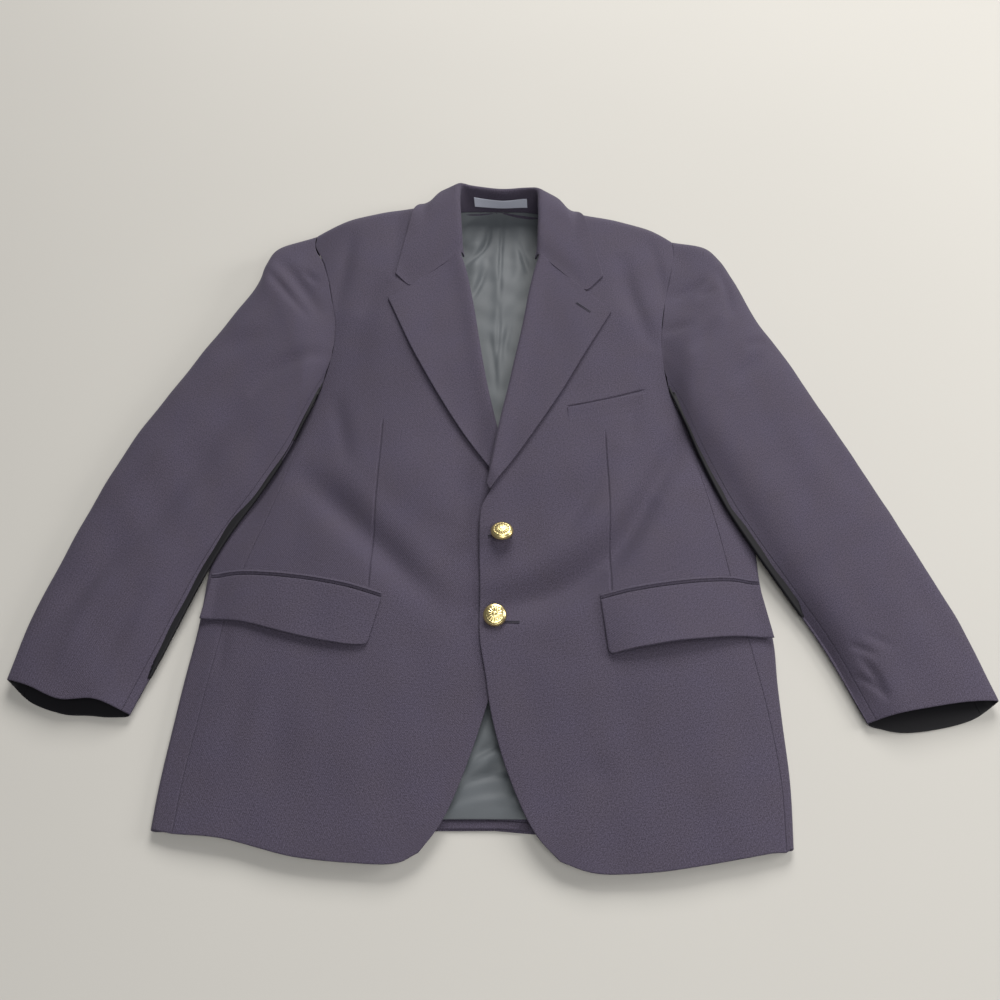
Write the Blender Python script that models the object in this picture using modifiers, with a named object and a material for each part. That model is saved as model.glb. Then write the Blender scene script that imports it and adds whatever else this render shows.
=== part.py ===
# A two button blazer, buttoned and laid flat on its back.
# X runs to the wearer's left, Y from the hem to the collar, Z up from the surface it lies on.
# Sizes and places are in millimetres, and each mesh is made in metres.
# side is +1 for the wearer's left half and -1 for the right half.

import math

import bmesh
import bpy
from mathutils import Vector

MILLIMETRE = 0.001

# Walls
SHELL = 1.5
LAPEL = 1.6
COLLAR = 2.2
FLAP = 2.4
STRIP = 1.2
LINING = 1.0
LABEL = 1.0

# Spaces between pieces
SEAM = 0.3
SHOULDER_SEAM = 0.75
HEAD_SEAM = 1.4
HIDDEN_SEAM = 3.4
LAYER = 0.5

# Counts of faces across and along the pieces
SEAM_ROWS = 12
ARM_ROWS = 9
TURN_ROWS = 5
BACK_ROWS = 2
FRONT_COLUMNS = 12
NECK_COLUMNS = 4
SIDE_FLAT = 2
SIDE_BEND = 4
SIDE_COLUMNS = 10
ROLL_COLUMNS = 4
LAPEL_COLUMNS = 11
LAPEL_ROWS = 14
STAND_COLUMNS = 3
BEND_COLUMNS = 4
COLLAR_COLUMNS = 12
EDGE_COLUMNS = 2
COLLAR_ROUND = 26
SLEEVE_ROWS = 17
SLEEVE_TOP_COLUMNS = 12
SLEEVE_UNDER_COLUMNS = 9
LABEL_COLUMNS = 8
LABEL_ROWS = 2
POCKET_COLUMNS = 12
FLAP_ROWS = 4
WELT_COLUMNS = 6
WELT_ROWS = 2
LINING_CELLS = 18
HEM_COLUMNS = 6
BUTTON_STEPS = 20

NAMES = {-1: "right", 1: "left"}

# Back
BACK_SEAM_X = -5.0
BACK_HEM_Y = -381.0
BACK_CORNER = {-1: (-251, -382), 1: (198, -399)}
SIDE_UNDER = 62.0
BEND_TURN = math.pi * 0.92
UNDER_LAPEL = 9.0
UNDER_LAPEL_SHARE = 0.12
FRONT_WIDTH = 120.0
SHOULDER_TURN = math.radians(100)
NECK_X = 66.0
NECK_TURN = math.radians(66)
ARMHOLE_Y = 62.0

# Loft of the body: a row for each section across, from the hem up.
# fold is the radius of the side fold, rise the distance in which the cloth climbs from it,
# and outer, middle and inner are the heights at 210, 120 and 0 mm from the centre.
LOFT_PLACES = (0.0, 120.0, 210.0)


def table(names, *rows):
    return {name: [row[i] for row in rows] for i, name in enumerate(names.split())}


LOFT = table(
    "y    fold  rise  outer  middle  inner_right  inner_left",
    (-420, 4.5, 60, 12, 13, 11, 13),
    (-340, 4.5, 80, 16, 18, 14, 17),
    (-240, 5.0, 100, 22, 25, 19, 23.5),
    (-140, 5.0, 120, 27, 31, 23, 29),
    (-50, 5.0, 170, 30, 35, 23.5, 35.5),
    (40, 5.0, 230, 32, 38, 27, 39.5),
    (120, 5.0, 230, 37, 42, 37, 40),
    (200, 5.0, 150, 43, 45, 41, 41),
    (280, 5.0, 150, 47, 46, 43, 43),
    (340, 5.0, 150, 50, 46, 44, 44),
)

# Plan of each half: the folded edge and the front seam of the side body.
SIDES = {
    -1: table(
        "y    fold  seam",
        (-392, -313, -292),
        (-340, -312, -290),
        (-280, -308, -284),
        (-240, -305, -280),
        (-183, -300, -273),
        (-134, -299, -265),
        (-95, -298, -253),
        (-50, -294, -240),
        (0, -289, -228),
        (62, -283, -219),
    ),
    1: table(
        "y    fold  seam",
        (-404, 260, 253),
        (-340, 266, 257),
        (-280, 267, 254),
        (-240, 268, 250),
        (-200, 270, 243),
        (-153, 266, 236),
        (-125, 265, 232),
        (-83, 266, 228),
        (0, 268, 214),
        (62, 268, 206),
    ),
}

# The line across the shoulders where the cloth turns over to the back.
RIDGE = table(
    "x    right  left",
    (0, 377, 377),
    (60, 368, 360),
    (105, 361, 348),
    (150, 350, 337),
    (190, 340, 327),
    (235, 324, 307),
)

# Large soft folds of the fronts, from one end to the other: a minus depth is a trough.
FOLDS = table(
    "x1   y1   x2    y2   width depth",
    (0, -150, 180, 45, 34, -4.0),
    (-12, -135, -185, -20, 30, -3.0),
    (-40, -105, -120, 60, 26, 2.0),
    (150, 200, 190, 285, 20, -2.0),
    (-178, 150, -150, 265, 22, -2.0),
    (60, -330, 230, -290, 30, -1.5),
    (-110, -320, -250, -250, 34, 1.5),
)

FRONT_EDGE = {
    -1: ((-72, -403), (-55, -381), (-42, -355), (-26, -312), (-11, -264), (0, -225), (9, -180),
         (14, -130), (17, -90), (18, -50)),
    1: ((53, -411), (34, -391), (20, -366), (4, -325), (-8, -280), (-14, -240), (-20, -200),
        (-20, -150), (-21, -110), (-20, -64)),
}
HEM = {
    -1: ((-292, -386), (-244, -391), (-184, -406), (-126, -412), (-92, -412), (-72, -403)),
    1: ((253, -402), (240, -403), (213, -408), (151, -418), (110, -421), (80, -420), (53, -411)),
}
ROLL = {
    -1: ((18, -50), (8, 0), (-3, 48), (-12, 90), (-20, 136), (-26, 180), (-33, 227),
         (-40, 265), (-47, 292)),
    1: ((-20, -64), (-10, -8), (-1, 45), (8, 88), (17, 136), (25, 177), (32, 221),
        (39, 258), (47, 289)),
}
LAPEL_EDGE = {
    -1: ((17, -42), (5, -30), (-11, -7), (-37, 30), (-64, 75), (-98, 141), (-131, 220)),
    1: ((-11, -40), (3, -20), (28, 18), (62, 75), (95, 137), (129, 199)),
}
# Shares of the roll line that the front's edge and neck pass, and a place beside the collar.
EDGE_SHARES = (0.06, 0.12, 0.18, 0.25)
NECK_SHARES = (0.25, 0.5, 0.75, 1.0)
NECK_SIDE = (61, 335)

LAPEL_START = {-1: 0.03, 1: 0.09}
NOTCH = {-1: (-106, 238), 1: (101, 230)}
GORGE_SHARE = 0.68
ARMHOLE = {
    -1: ((-219, 62), (-208, 86), (-199, 116), (-192, 150), (-191, 186), (-196, 216),
         (-203, 250), (-213, 286), (-226, 316)),
    1: ((206, 62), (195, 84), (189, 108), (186, 145), (187, 178), (194, 222),
        (203, 262), (210, 291), (212, 306)),
}

# Sleeves: a row for each section from the cuff to the armhole.
# inner and outer are the folded edges, and the heights are those of the fold's outermost line.
SLEEVE_INNER = {
    -1: table(
        "x     y    height",
        (-351, -274, 8),
        (-330, -213, 9),
        (-306, -140, 11),
        (-283, -86, 18),
        (-255, -34, 22.5),
        (-231, 17, 25.5),
        (-214, 64, 28),
    ),
    1: table(
        "x     y    height",
        (347, -283, 8),
        (318, -208, 9),
        (287, -146, 11),
        (262, -100, 18),
        (238, -50, 22.5),
        (217, 10, 25.5),
        (203, 58, 28),
    ),
}
SLEEVE_OUTER = {
    -1: ((-475, -240), (-467, -180), (-450, -112), (-430, -40), (-404, 37), (-377, 93),
         (-348, 152), (-320, 206), (-299, 245), (-290, 268), (-285, 294), (-272, 322)),
    1: ((475, -262), (457, -185), (432, -112), (406, -40), (376, 38), (353, 93),
        (330, 150), (305, 200), (290, 243), (280, 272), (269, 300), (252, 323)),
}
CUFF = {
    -1: ((-351, -274), (-385, -262), (-418, -262), (-449, -249), (-475, -240)),
    1: ((347, -283), (367, -278), (404, -271), (441, -265), (475, -262)),
}
# The seams between the top and the under sleeve, as turns round the sleeve from its outer fold.
SEAM_TOP = math.radians(152)
SEAM_UNDER = math.radians(-42)
SEAM_TOP_GAP = math.radians(2.6)
SEAM_TOP_SPREAD = math.radians(1.0)
SEAM_UNDER_GAP = math.radians(1.8)
SLEEVE_LENGTH = 500.0

# Shares of the sleeve's length: where it takes the armhole's form, and the cuff's.
HEAD_SHARE = 0.16
CUFF_SHARE = 0.12
CREST_POWER = 0.8
# The under sleeve's inner fold, and the distance in which it comes down to the surface.
UNDER_FOLD = 8.0
UNDER_RUN = 60.0
# How much lower the under sleeve's wall ends in the armpit, and where it starts to.
ARMPIT_DROP = 6.0
ARMPIT_FROM = 0.94
ARMPIT_SHARE = 0.05
ARMPIT_ACROSS = 8.0
# The sleeve passes over the highest cloth of the body within these distances.
BODY_REACHES = (0, 12, 24, 34)
BODY_TURNS = 10
BODY_CLEAR = 2.0
BODY_BELOW_ARMHOLE = 12.0

# How far the under sleeve's edge shows past the top sleeve's, from the inner fold outwards.
CUFF_DROP = table(
    "place  right  left",
    (0.0, 0, 0),
    (0.25, 11, 14),
    (0.55, 9, 17),
    (0.8, 11, 13),
    (1.0, 0, 0),
)
SLEEVE_LOFT = table(
    "place  loft  outer",
    (0.0, 19, 9),
    (0.2, 24, 10),
    (0.45, 29, 12),
    (0.7, 36, 15),
    (0.88, 43, 19),
    (1.0, 48, 22),
)

# Collar: a row for each section from the right end round the neck to the left end.
# neck is the foot of the stand, crest the top of the fold, and the fall goes by way of
# middle to edge. At the two ends middle is the inner corner of the notch.
COLLAR_ROWS = (
    ((-45, 298, 38), (-47, 293.5, 49.5), (-106, 239, 47.5), (-124, 259, 48)),
    ((-49, 318, 38), (-48, 318, 51), (-100, 276, 48.5), (-120, 284, 48)),
    ((-53, 346, 36), (-49.5, 346, 53), (-92, 330, 50.5), (-113, 324, 49.5)),
    ((-60, 373, 30), (-51, 380, 54), (-84, 370, 52), (-106, 364, 51)),
    ((-60, 387, 22), (-50, 405, 52.5), (-72, 402, 43), (-91, 395, 27)),
    ((-36, 395, 17), (-34, 405, 48.5), (-44, 413, 30), (-54, 418, 8)),
    ((0, 397, 15.2), (2, 401, 46.5), (1, 414, 26), (0, 422, 3)),
    ((34, 394, 17), (31, 402.5, 47.5), (42, 409, 30), (53, 413, 8)),
    ((58, 382, 22), (47.5, 396, 51.5), (70, 390, 43), (89, 382, 27)),
    ((58, 364, 30), (48.5, 371, 53), (82, 358, 51), (103, 352, 50)),
    ((52, 338, 36), (48.5, 342, 52), (90, 322, 50), (111, 313, 49)),
    ((48, 314, 38), (47.5, 315, 50.5), (97, 268, 48.5), (118, 279, 48)),
    ((44, 294, 38), (47, 290, 49.5), (101, 231, 47.5), (122, 255, 48)),
)
COLLAR_BEND = 3.3
LAPEL_BEND = 3.4
LAPEL_CURL = 0.8
ROLL_REACH = 14.0
TUCK_DELAY = 0.6
TUCK_SHARE = 0.55
TUCK_LEAST = 1.0
LAPEL_REACH = 0.996
COLLAR_END = 0.0006
COLLAR_LEAST_ANGLE = 0.2

FLAP_TOP = {
    -1: ((-117, -162), (-159, -149), (-210, -138), (-262, -131), (-293, -132)),
    1: ((99, -164), (139, -154), (190, -144), (232, -138), (262, -140)),
}
FLAP_FOOT = {
    -1: ((-128, -212), (-153, -211), (-203, -200), (-255, -184), (-298, -177)),
    1: ((104, -222), (143, -215), (182, -208), (234, -200), (269, -198)),
}
FLAP_STAND = {-1: 5.5, 1: 8.5}
FLAP_STAND_POWER = 1.3
FLAP_FROM_FOLD = 14.0
JETTING_WIDTH = 6.0
WELT_TOP = ((74, 66), (115, 78), (161, 94))
WELT_WIDTH = 21.0

BUTTONS = (
    ("button_upper", 2.0, -91.0, -13.0),
    ("button_lower", -5.0, -180.0, 13.0),
)
BUTTON_RADIUS = 11.5
BUTTON_DOME = 5.5
BUTTON_RISE = 2.3
BUTTON_RIM = 0.3
BUTTON_BACK = 1.4
BUTTON_BACK_SHARE = 0.86
DOME_STEPS = 5
DOME_TURN = math.radians(17)
SHANK_RADIUS = 2.5
SHANK_FOOT = 1.8
SHANK_HEIGHT = 4.0

LABEL_FROM, LABEL_TO = -31.0, 38.0
LABEL_LOW, LABEL_HIGH = 0.28, 0.72
LABEL_SPAN = 315.0

LINING_LOW = -372.0
LINING_CENTRE = -4.0
LINING_WIDTH = 190.0
LINING_TAPER = 60.0
LINING_SPREAD = 1.5
LINING_NECK = 58.0
LINING_LIFT = 1.5
LINING_LIFT_Y = 365.0
LINING_LIFT_RUN = 15.0
BACK_HEM_FROM, BACK_HEM_LENGTH = -200.0, 395.0
BACK_HEM_WIDTH = 7.0
BACK_HEM_SLANT = 0.075
BACK_HEM_INSIDE = 1.5

# Soft folds of the lining where it shows.
LINING_FOLDS = table(
    "x1   y1   x2    y2   width depth",
    (1, 400, -2, 60, 9, 2.5),
    (-22, 390, -34, 250, 10, 3.0),
    (28, 385, 18, 240, 9, 2.6),
    (-40, -370, 5, -250, 12, 2.4),
)

CLOTH_COLOUR = (0.028, 0.027, 0.042)
LINING_COLOUR = (0.09, 0.10, 0.105)
LABEL_COLOUR = (0.05, 0.05, 0.075)
BRASS_COLOUR = (0.80, 0.62, 0.22)


# Curves and tables

def hermite(before, start, end, after, part):
    low = (end - before) * 0.5
    high = (after - start) * 0.5
    square, cube = part * part, part * part * part
    return (start * (2 * cube - 3 * square + 1) + low * (cube - 2 * square + part)
            + end * (3 * square - 2 * cube) + high * (cube - square))


def read(rows, name, place, key="y"):
    # A smooth reading of one column at a place of the key column.
    keys, values = rows[key], rows[name]
    if place <= keys[0]:
        return values[0]
    if place >= keys[-1]:
        return values[-1]
    i = max(k for k in range(len(keys) - 1) if keys[k] <= place)
    width = keys[i + 1] - keys[i]
    part = (place - keys[i]) / width
    rise = (values[i + 1] - values[i]) / width
    slopes = []
    for j in (i, i + 1):
        if 0 < j < len(keys) - 1:
            slopes.append((values[j + 1] - values[j - 1]) / (keys[j + 1] - keys[j - 1]))
        else:
            slopes.append(rise)
    square, cube = part * part, part * part * part
    return (values[i] * (2 * cube - 3 * square + 1) + values[i + 1] * (3 * square - 2 * cube)
            + width * (slopes[0] * (cube - 2 * square + part) + slopes[1] * (cube - square)))


def line(points, steps=16):
    # A smooth curve through the points, read by its share of the length.
    points = [Vector(tuple(p) + (0.0,) * (3 - len(p))) for p in points]
    ends = [points[0] * 2 - points[1]] + points + [points[-1] * 2 - points[-2]]
    path = []
    for i in range(len(points) - 1):
        for step in range(steps):
            path.append(hermite(ends[i], ends[i + 1], ends[i + 2], ends[i + 3], step / steps))
    path.append(points[-1])
    lengths = [0.0]
    for a, b in zip(path, path[1:]):
        lengths.append(lengths[-1] + (b - a).length)

    def at(share):
        target = min(max(share, 0.0), 1.0) * lengths[-1]
        low, high = 0, len(lengths) - 1
        while high - low > 1:
            middle = (low + high) // 2
            if lengths[middle] <= target:
                low = middle
            else:
                high = middle
        return path[low].lerp(path[high], (target - lengths[low]) / (lengths[high] - lengths[low]))

    return at


def joined(first, second, share):
    # Two curves end to end: the first takes the given share of the reading.
    return lambda t: first(t / share) if t <= share else second((t - share) / (1 - share))


def patch(left, right, bottom, top):
    # A surface between four curves that meet at its corners.
    corners = bottom(0), bottom(1), top(0), top(1)

    def at(u, v):
        ruled = left(v).lerp(right(v), u) + bottom(u).lerp(top(u), v)
        return ruled - corners[0].lerp(corners[1], u).lerp(corners[2].lerp(corners[3], u), v)

    return at


def ease(part):
    part = min(max(part, 0.0), 1.0)
    return part * part * (3 - 2 * part)


def folds(rows, x, y):
    # The height that the soft folds of a table add at a place.
    total = 0.0
    for x1, y1, x2, y2, width, depth in zip(*rows.values()):
        along = Vector((x2 - x1, y2 - y1))
        away = Vector((x - x1, y - y1))
        part = away.dot(along) / along.length_squared
        if 0 < part < 1:
            off = abs(away.cross(along)) / along.length / width
            total += depth * math.exp(-off * off) * math.sin(math.pi * part)
    return total


# The form of the body

def top(side, x, y):
    # The height of the upper layer over a place of the plan.
    column = "inner_right" if side < 0 else "inner_left"
    heights = table("x height", *zip(LOFT_PLACES, (
        read(LOFT, column, y), read(LOFT, "middle", y), read(LOFT, "outer", y))))
    loft = read(heights, "height", x * side, "x")
    radius = read(LOFT, "fold", y)
    rise = read(LOFT, "rise", y)
    inward = (read(SIDES[side], "fold", y) - x) * side
    lean = math.atan(2 * (loft - 2 * radius) / rise)
    start = radius * (1 - math.sin(lean))
    height = radius * (1 + math.cos(lean))
    if inward <= 0:
        return radius
    if inward < start:
        return radius + math.sqrt(radius ** 2 - (radius - inward) ** 2)
    part = min((inward - start) / rise, 1.0)
    climb = 1 - (1 - part) ** 2
    return height + (loft - height) * climb + folds(FOLDS, x, y) * ease(inward / 60)


def ridge(side, x):
    place = read(RIDGE, "right" if side < 0 else "left", abs(x), "x")
    return place, top(side, x, place) / 2


def on_front(side, x, y, out=0.0):
    # A place of the front's pattern on the laid garment: past the ridge it turns downwards.
    place, radius = ridge(side, x)
    if y <= place:
        return Vector((x, y, top(side, x, y) + out))
    turn = (y - place) / radius
    reach = radius + out
    return Vector((x, place + reach * math.sin(turn), radius + reach * math.cos(turn)))


def on_back(side, x, y, inside=0.0):
    # A place of the back's pattern, which lies on the surface and turns up at the ridge.
    place, radius = ridge(side, x)
    if y <= place:
        return Vector((x, y, inside))
    turn = (y - place) / radius
    reach = radius - inside
    return Vector((x, place + reach * math.sin(turn), radius - reach * math.cos(turn)))


def shoulder_front(side, x):
    place, radius = ridge(side, x)
    return place + radius * SHOULDER_TURN


def shoulder_back(side, x):
    place, radius = ridge(side, x)
    return place + radius * (math.pi - SHOULDER_TURN)


def neckline(side, x):
    place, radius = ridge(side, x)
    share = (abs(x) / NECK_X) ** 2
    return place + radius * (NECK_TURN + (math.pi - SHOULDER_TURN - NECK_TURN) * share)


# Blender objects

def material(name, colour, roughness, metallic=0.0):
    made = bpy.data.materials.new(name)
    made.use_nodes = True
    shader = made.node_tree.nodes["Principled BSDF"]
    shader.inputs["Base Color"].default_value = (*colour, 1)
    shader.inputs["Roughness"].default_value = roughness
    shader.inputs["Metallic"].default_value = metallic
    return made


def cloth(name, surface, columns, rows, wall, colour=CLOTH_COLOUR, turned=False, roughness=0.85):
    # A wall of cloth behind a surface of (u, v), made from a grid.
    mesh = bmesh.new()
    bmesh.ops.create_grid(mesh, x_segments=columns, y_segments=rows, size=0.5)
    for vertex in mesh.verts:
        vertex.co = surface(vertex.co.x + 0.5, vertex.co.y + 0.5) * MILLIMETRE
    if turned:
        bmesh.ops.reverse_faces(mesh, faces=mesh.faces)
    data = bpy.data.meshes.new(name)
    mesh.to_mesh(data)
    mesh.free()
    data.shade_smooth()
    made = bpy.data.objects.new(name, data)
    parts.objects.link(made)
    data.materials.append(material(name + "_finish", colour, roughness))
    thicken = made.modifiers.new("wall", "SOLIDIFY")
    thicken.thickness = wall * MILLIMETRE
    thicken.offset = -1


# Fronts

def stacked(rows, first, second, third):
    # Three surfaces one above the other: the lowest has the given count of rows.
    surfaces = ((rows, first), (ARM_ROWS, second), (TURN_ROWS, third))
    total = rows + ARM_ROWS + TURN_ROWS

    def at(u, v):
        row = v * total
        for count, surface in surfaces:
            if row <= count or surface is third:
                return surface(u, row / count)
            row -= count

    return at


def front_seam(side):
    return line([(read(SIDES[side], "seam", y), y) for y in (
        HEM[side][0][1], -340, -280, -220, -160, -100, -50, 0, ARMHOLE_Y)])


def across(start, end, height):
    # A line over the shoulder from one x to another, at the height that a rule gives.
    return line([(start + (end - start) * k / 6, height(start + (end - start) * k / 6))
                 for k in range(7)])


def under_lapel(t):
    # How far the front's edge lies from the roll line, from the lapel's start up.
    return UNDER_LAPEL * ease(t / UNDER_LAPEL_SHARE)


def front(side):
    shoulder_x, neck_x = ARMHOLE[side][-1][0], side * NECK_X
    roll = line(ROLL[side])

    def beside_roll(t):
        return (roll(t) + Vector((side * under_lapel(t), 0, 0))).to_tuple()

    def ridge_at(x):
        return ridge(side, x)[0]

    def seam_at(x):
        return shoulder_front(side, x) - SHOULDER_SEAM

    edge = line(FRONT_EDGE[side] + tuple(beside_roll(t) for t in EDGE_SHARES))
    neck = line([beside_roll(t) for t in NECK_SHARES]
                + [(side * NECK_SIDE[0], NECK_SIDE[1]), (neck_x, ridge_at(neck_x))])
    armhole = line(ARMHOLE[side] + ((shoulder_x, ridge_at(shoulder_x)),))
    level = across(armhole(0).x, neck(0).x, lambda x: ARMHOLE_Y + (neck(0).y - ARMHOLE_Y)
                   * (x - armhole(0).x) / (neck(0).x - armhole(0).x))
    crease = across(shoulder_x, neck_x, ridge_at)
    seam = across(shoulder_x, neck_x, seam_at)
    plan = stacked(
        SEAM_ROWS,
        patch(front_seam(side), edge, line(HEM[side]), level),
        patch(armhole, neck, level, crease),
        patch(line([armhole(1), seam(0)]), line([neck(1), seam(1)]), crease, seam))

    def surface(u, v):
        share = SEAM / FRONT_WIDTH
        place = plan(share + u * (1 - share), v)
        return on_front(side, place.x, place.y)

    rows = SEAM_ROWS + ARM_ROWS + TURN_ROWS
    cloth(f"front_{NAMES[side]}", surface, FRONT_COLUMNS, rows, SHELL, turned=side > 0)


def back_seam(side):
    # The straight seam on the underside between the back and the side body.
    x = read(SIDES[side], "fold", ARMHOLE_Y) - side * SIDE_UNDER
    return line([BACK_CORNER[side], (x, ARMHOLE_Y)])


def side_body(side):
    # From the back seam on the underside round the fold to the front seam.
    under, over = back_seam(side), front_seam(side)

    def surface(u, v):
        y = under(v).y
        radius = read(LOFT, "fold", y)
        fold = read(SIDES[side], "fold", y)
        count = u * SIDE_COLUMNS
        if count <= SIDE_FLAT:
            start = under(v).x + side * SEAM
            return Vector((start + (fold - side * radius - start) * count / SIDE_FLAT, y, 0))
        if count < SIDE_FLAT + SIDE_BEND:
            turn = BEND_TURN * (count - SIDE_FLAT) / SIDE_BEND
            inward = radius * (1 - math.sin(turn))
            return Vector((fold - side * inward, y, radius * (1 - math.cos(turn))))
        part = (count - SIDE_FLAT - SIDE_BEND) / (SIDE_COLUMNS - SIDE_FLAT - SIDE_BEND)
        start = fold - side * radius * (1 - math.sin(BEND_TURN))
        x = start + (over(v).x + side * SEAM / 2 - start) * part
        place_y = y + (over(v).y - y) * part
        return Vector((x, place_y, top(side, x, place_y)))

    cloth(f"side_{NAMES[side]}", surface, SIDE_COLUMNS, SEAM_ROWS, SHELL, turned=side > 0)


def back(side):
    shoulder_x, neck_x = ARMHOLE[side][-1][0], side * NECK_X

    def ridge_at(x):
        return ridge(side, x)[0]

    def seam_at(x):
        return shoulder_back(side, x) - SHOULDER_SEAM

    def neck_at(x):
        return neckline(side, x)

    share = FRONT_COLUMNS / (FRONT_COLUMNS + NECK_COLUMNS)
    under = back_seam(side)
    shoulder = (shoulder_x, ridge_at(shoulder_x))
    armhole = line(((under(1).x, under(1).y),) + ARMHOLE[side][2:] + (shoulder,))
    centre = [(BACK_SEAM_X, y) for y in (BACK_HEM_Y, ARMHOLE_Y, ridge_at(0), neck_at(0))]
    hem = line([under(0), centre[0]])
    level = line([under(1), centre[1]])
    crease = joined(across(shoulder_x, neck_x, ridge_at),
                    across(neck_x, BACK_SEAM_X, ridge_at), share)
    end = joined(across(shoulder_x, neck_x, seam_at), across(neck_x, BACK_SEAM_X, neck_at), share)
    plan = stacked(
        BACK_ROWS,
        patch(under, line(centre[0:2]), hem, level),
        patch(armhole, line(centre[1:3]), level, crease),
        patch(line([armhole(1), end(0)]), line(centre[2:4]), crease, end))

    def surface(u, v):
        place = plan(u, v)
        from_arm = HIDDEN_SEAM * (1 - u) if place.y > ARMHOLE_Y + 1 else 0.0
        x = place.x - side * from_arm + side * SEAM / 2 * u
        return on_back(side, x, place.y)

    columns, rows = FRONT_COLUMNS + NECK_COLUMNS, BACK_ROWS + ARM_ROWS + TURN_ROWS
    cloth(f"back_{NAMES[side]}", surface, columns, rows, SHELL, turned=side < 0)


def lapel_lines(side):
    roll = line(ROLL[side])
    start = LAPEL_START[side]
    crease = line([roll(start + (1 - start) * k / 10).to_tuple() for k in range(11)])
    return crease, line(LAPEL_EDGE[side])


def lapel(side):
    crease, edge = LAPEL_LINES[side]
    start = LAPEL_START[side]
    notch = Vector((*NOTCH[side], 0))
    end = joined(line([crease(1), notch]), line([notch, edge(1)]), GORGE_SHARE)
    plan = patch(crease, edge, line([crease(0), edge(0)]), end)

    def surface(u, v):
        v = v * LAPEL_REACH
        width = (edge(v) - crease(v)).length
        room = under_lapel((start + (1 - start) * v) * TUCK_DELAY) - 2 * SEAM
        tuck = max(min(room, width * TUCK_SHARE), TUCK_LEAST)
        bend = min(LAPEL_BEND, tuck * 0.5)
        rise = max(bend - LAPEL, LAYER)
        across = (plan(0.2, v) - plan(0, v)).normalized()
        hinge = plan(0, v) + across * bend
        base = top(side, hinge.x, hinge.y) + rise
        count = u * LAPEL_COLUMNS
        if count < 1:
            along = (crease(v + 0.01) - crease(v - 0.01)).normalized()
            inner = crease(v) + Vector((along.y, -along.x, 0)) * side * tuck
            inner = inner.lerp(hinge, count)
            return Vector((inner.x, inner.y, base - bend))
        if count <= ROLL_COLUMNS:
            turn = math.pi * (count - 1) / (ROLL_COLUMNS - 1)
            place = hinge - across * bend * math.sin(turn)
            return Vector((place.x, place.y, base - bend * math.cos(turn)))
        part = (count - ROLL_COLUMNS) / (LAPEL_COLUMNS - ROLL_COLUMNS)
        first = bend / width
        place = plan(first + (1 - first) * part, v)
        reach = part * (width - bend)
        settle = math.exp(-(reach / ROLL_REACH) ** 2)
        rest = LAPEL + LAYER
        lift = rest + (rise + bend - rest) * settle + LAPEL_CURL * part ** 4
        return Vector((place.x, place.y, top(side, place.x, place.y) + lift))

    cloth(f"lapel_{NAMES[side]}", surface, LAPEL_COLUMNS, LAPEL_ROWS, LAPEL, turned=side > 0)


def collar_surface(u, v):
    # u runs from the foot of the stand over the fold to the fall's edge, v round the neck.
    stand, crest, middle, edge = (curve(v) for curve in COLLAR_LINES)
    down = (stand - crest).normalized()
    out = (middle - crest).normalized()
    half = max(down.angle(out) / 2, COLLAR_LEAST_ANGLE)
    tangent = COLLAR_BEND / math.tan(half)
    apex = crest - (down + out) * tangent / 4
    down = (stand - apex).normalized()
    out = (middle - apex).normalized()
    near, far = apex + down * tangent, apex + out * tangent
    count = u * COLLAR_COLUMNS
    if count <= STAND_COLUMNS:
        return stand.lerp(near, count / STAND_COLUMNS)
    if count < STAND_COLUMNS + BEND_COLUMNS:
        turn = (count - STAND_COLUMNS) / BEND_COLUMNS
        return near.lerp(apex, turn).lerp(apex.lerp(far, turn), turn)
    bent = STAND_COLUMNS + BEND_COLUMNS
    fallen = COLLAR_COLUMNS - EDGE_COLUMNS
    if count <= fallen:
        return far.lerp(middle, (count - bent) / (fallen - bent))
    return middle.lerp(edge, (count - fallen) / EDGE_COLUMNS)


def collar():
    # It ends just short of its first and last sections, clear of the lapels.
    def surface(u, v):
        return collar_surface(u, COLLAR_END + v * (1 - 2 * COLLAR_END))

    cloth("collar", surface, COLLAR_COLUMNS, COLLAR_ROUND, COLLAR)


def neck_label():
    def surface(u, v):
        share = STAND_COLUMNS / COLLAR_COLUMNS
        place_u = (LABEL_LOW + (LABEL_HIGH - LABEL_LOW) * v) * share
        place_v = 0.5 + (LABEL_FROM + (LABEL_TO - LABEL_FROM) * u) / LABEL_SPAN
        here = collar_surface(place_u, place_v)
        beside = collar_surface(place_u, place_v + 0.004) - here
        above = collar_surface(place_u + 0.01, place_v) - here
        return here - above.cross(beside).normalized() * (COLLAR + SEAM + LABEL)

    cloth("neck_label", surface, LABEL_COLUMNS, LABEL_ROWS, LABEL, LABEL_COLOUR)


def sleeve_lines(side):
    start = ARMHOLE[side][2]
    inner = line(list(zip(*SLEEVE_INNER[side].values())) + [(*start, top(side, *start))])
    shoulder_x = ARMHOLE[side][-1][0]
    seam_front = line(ARMHOLE[side][2:] + ((shoulder_x, shoulder_front(side, shoulder_x)),))
    seam_back = line(ARMHOLE[side][2:] + ((shoulder_x, shoulder_back(side, shoulder_x)),))
    crown = on_front(side, shoulder_x, shoulder_front(side, shoulder_x))
    outer = line(SLEEVE_OUTER[side] + ((crown.x, crown.y),))
    return inner, outer, line(CUFF[side]), seam_front, seam_back


def body_edge(side, y):
    # How far out the body's upper layer reaches: to its fold, or above that to the armhole.
    if y <= ARMHOLE_Y:
        return read(SIDES[side], "fold", y)
    rows = {"y": [place[1] for place in ARMHOLE[side]], "x": [place[0] for place in ARMHOLE[side]]}
    return read(rows, "x", y)


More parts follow.
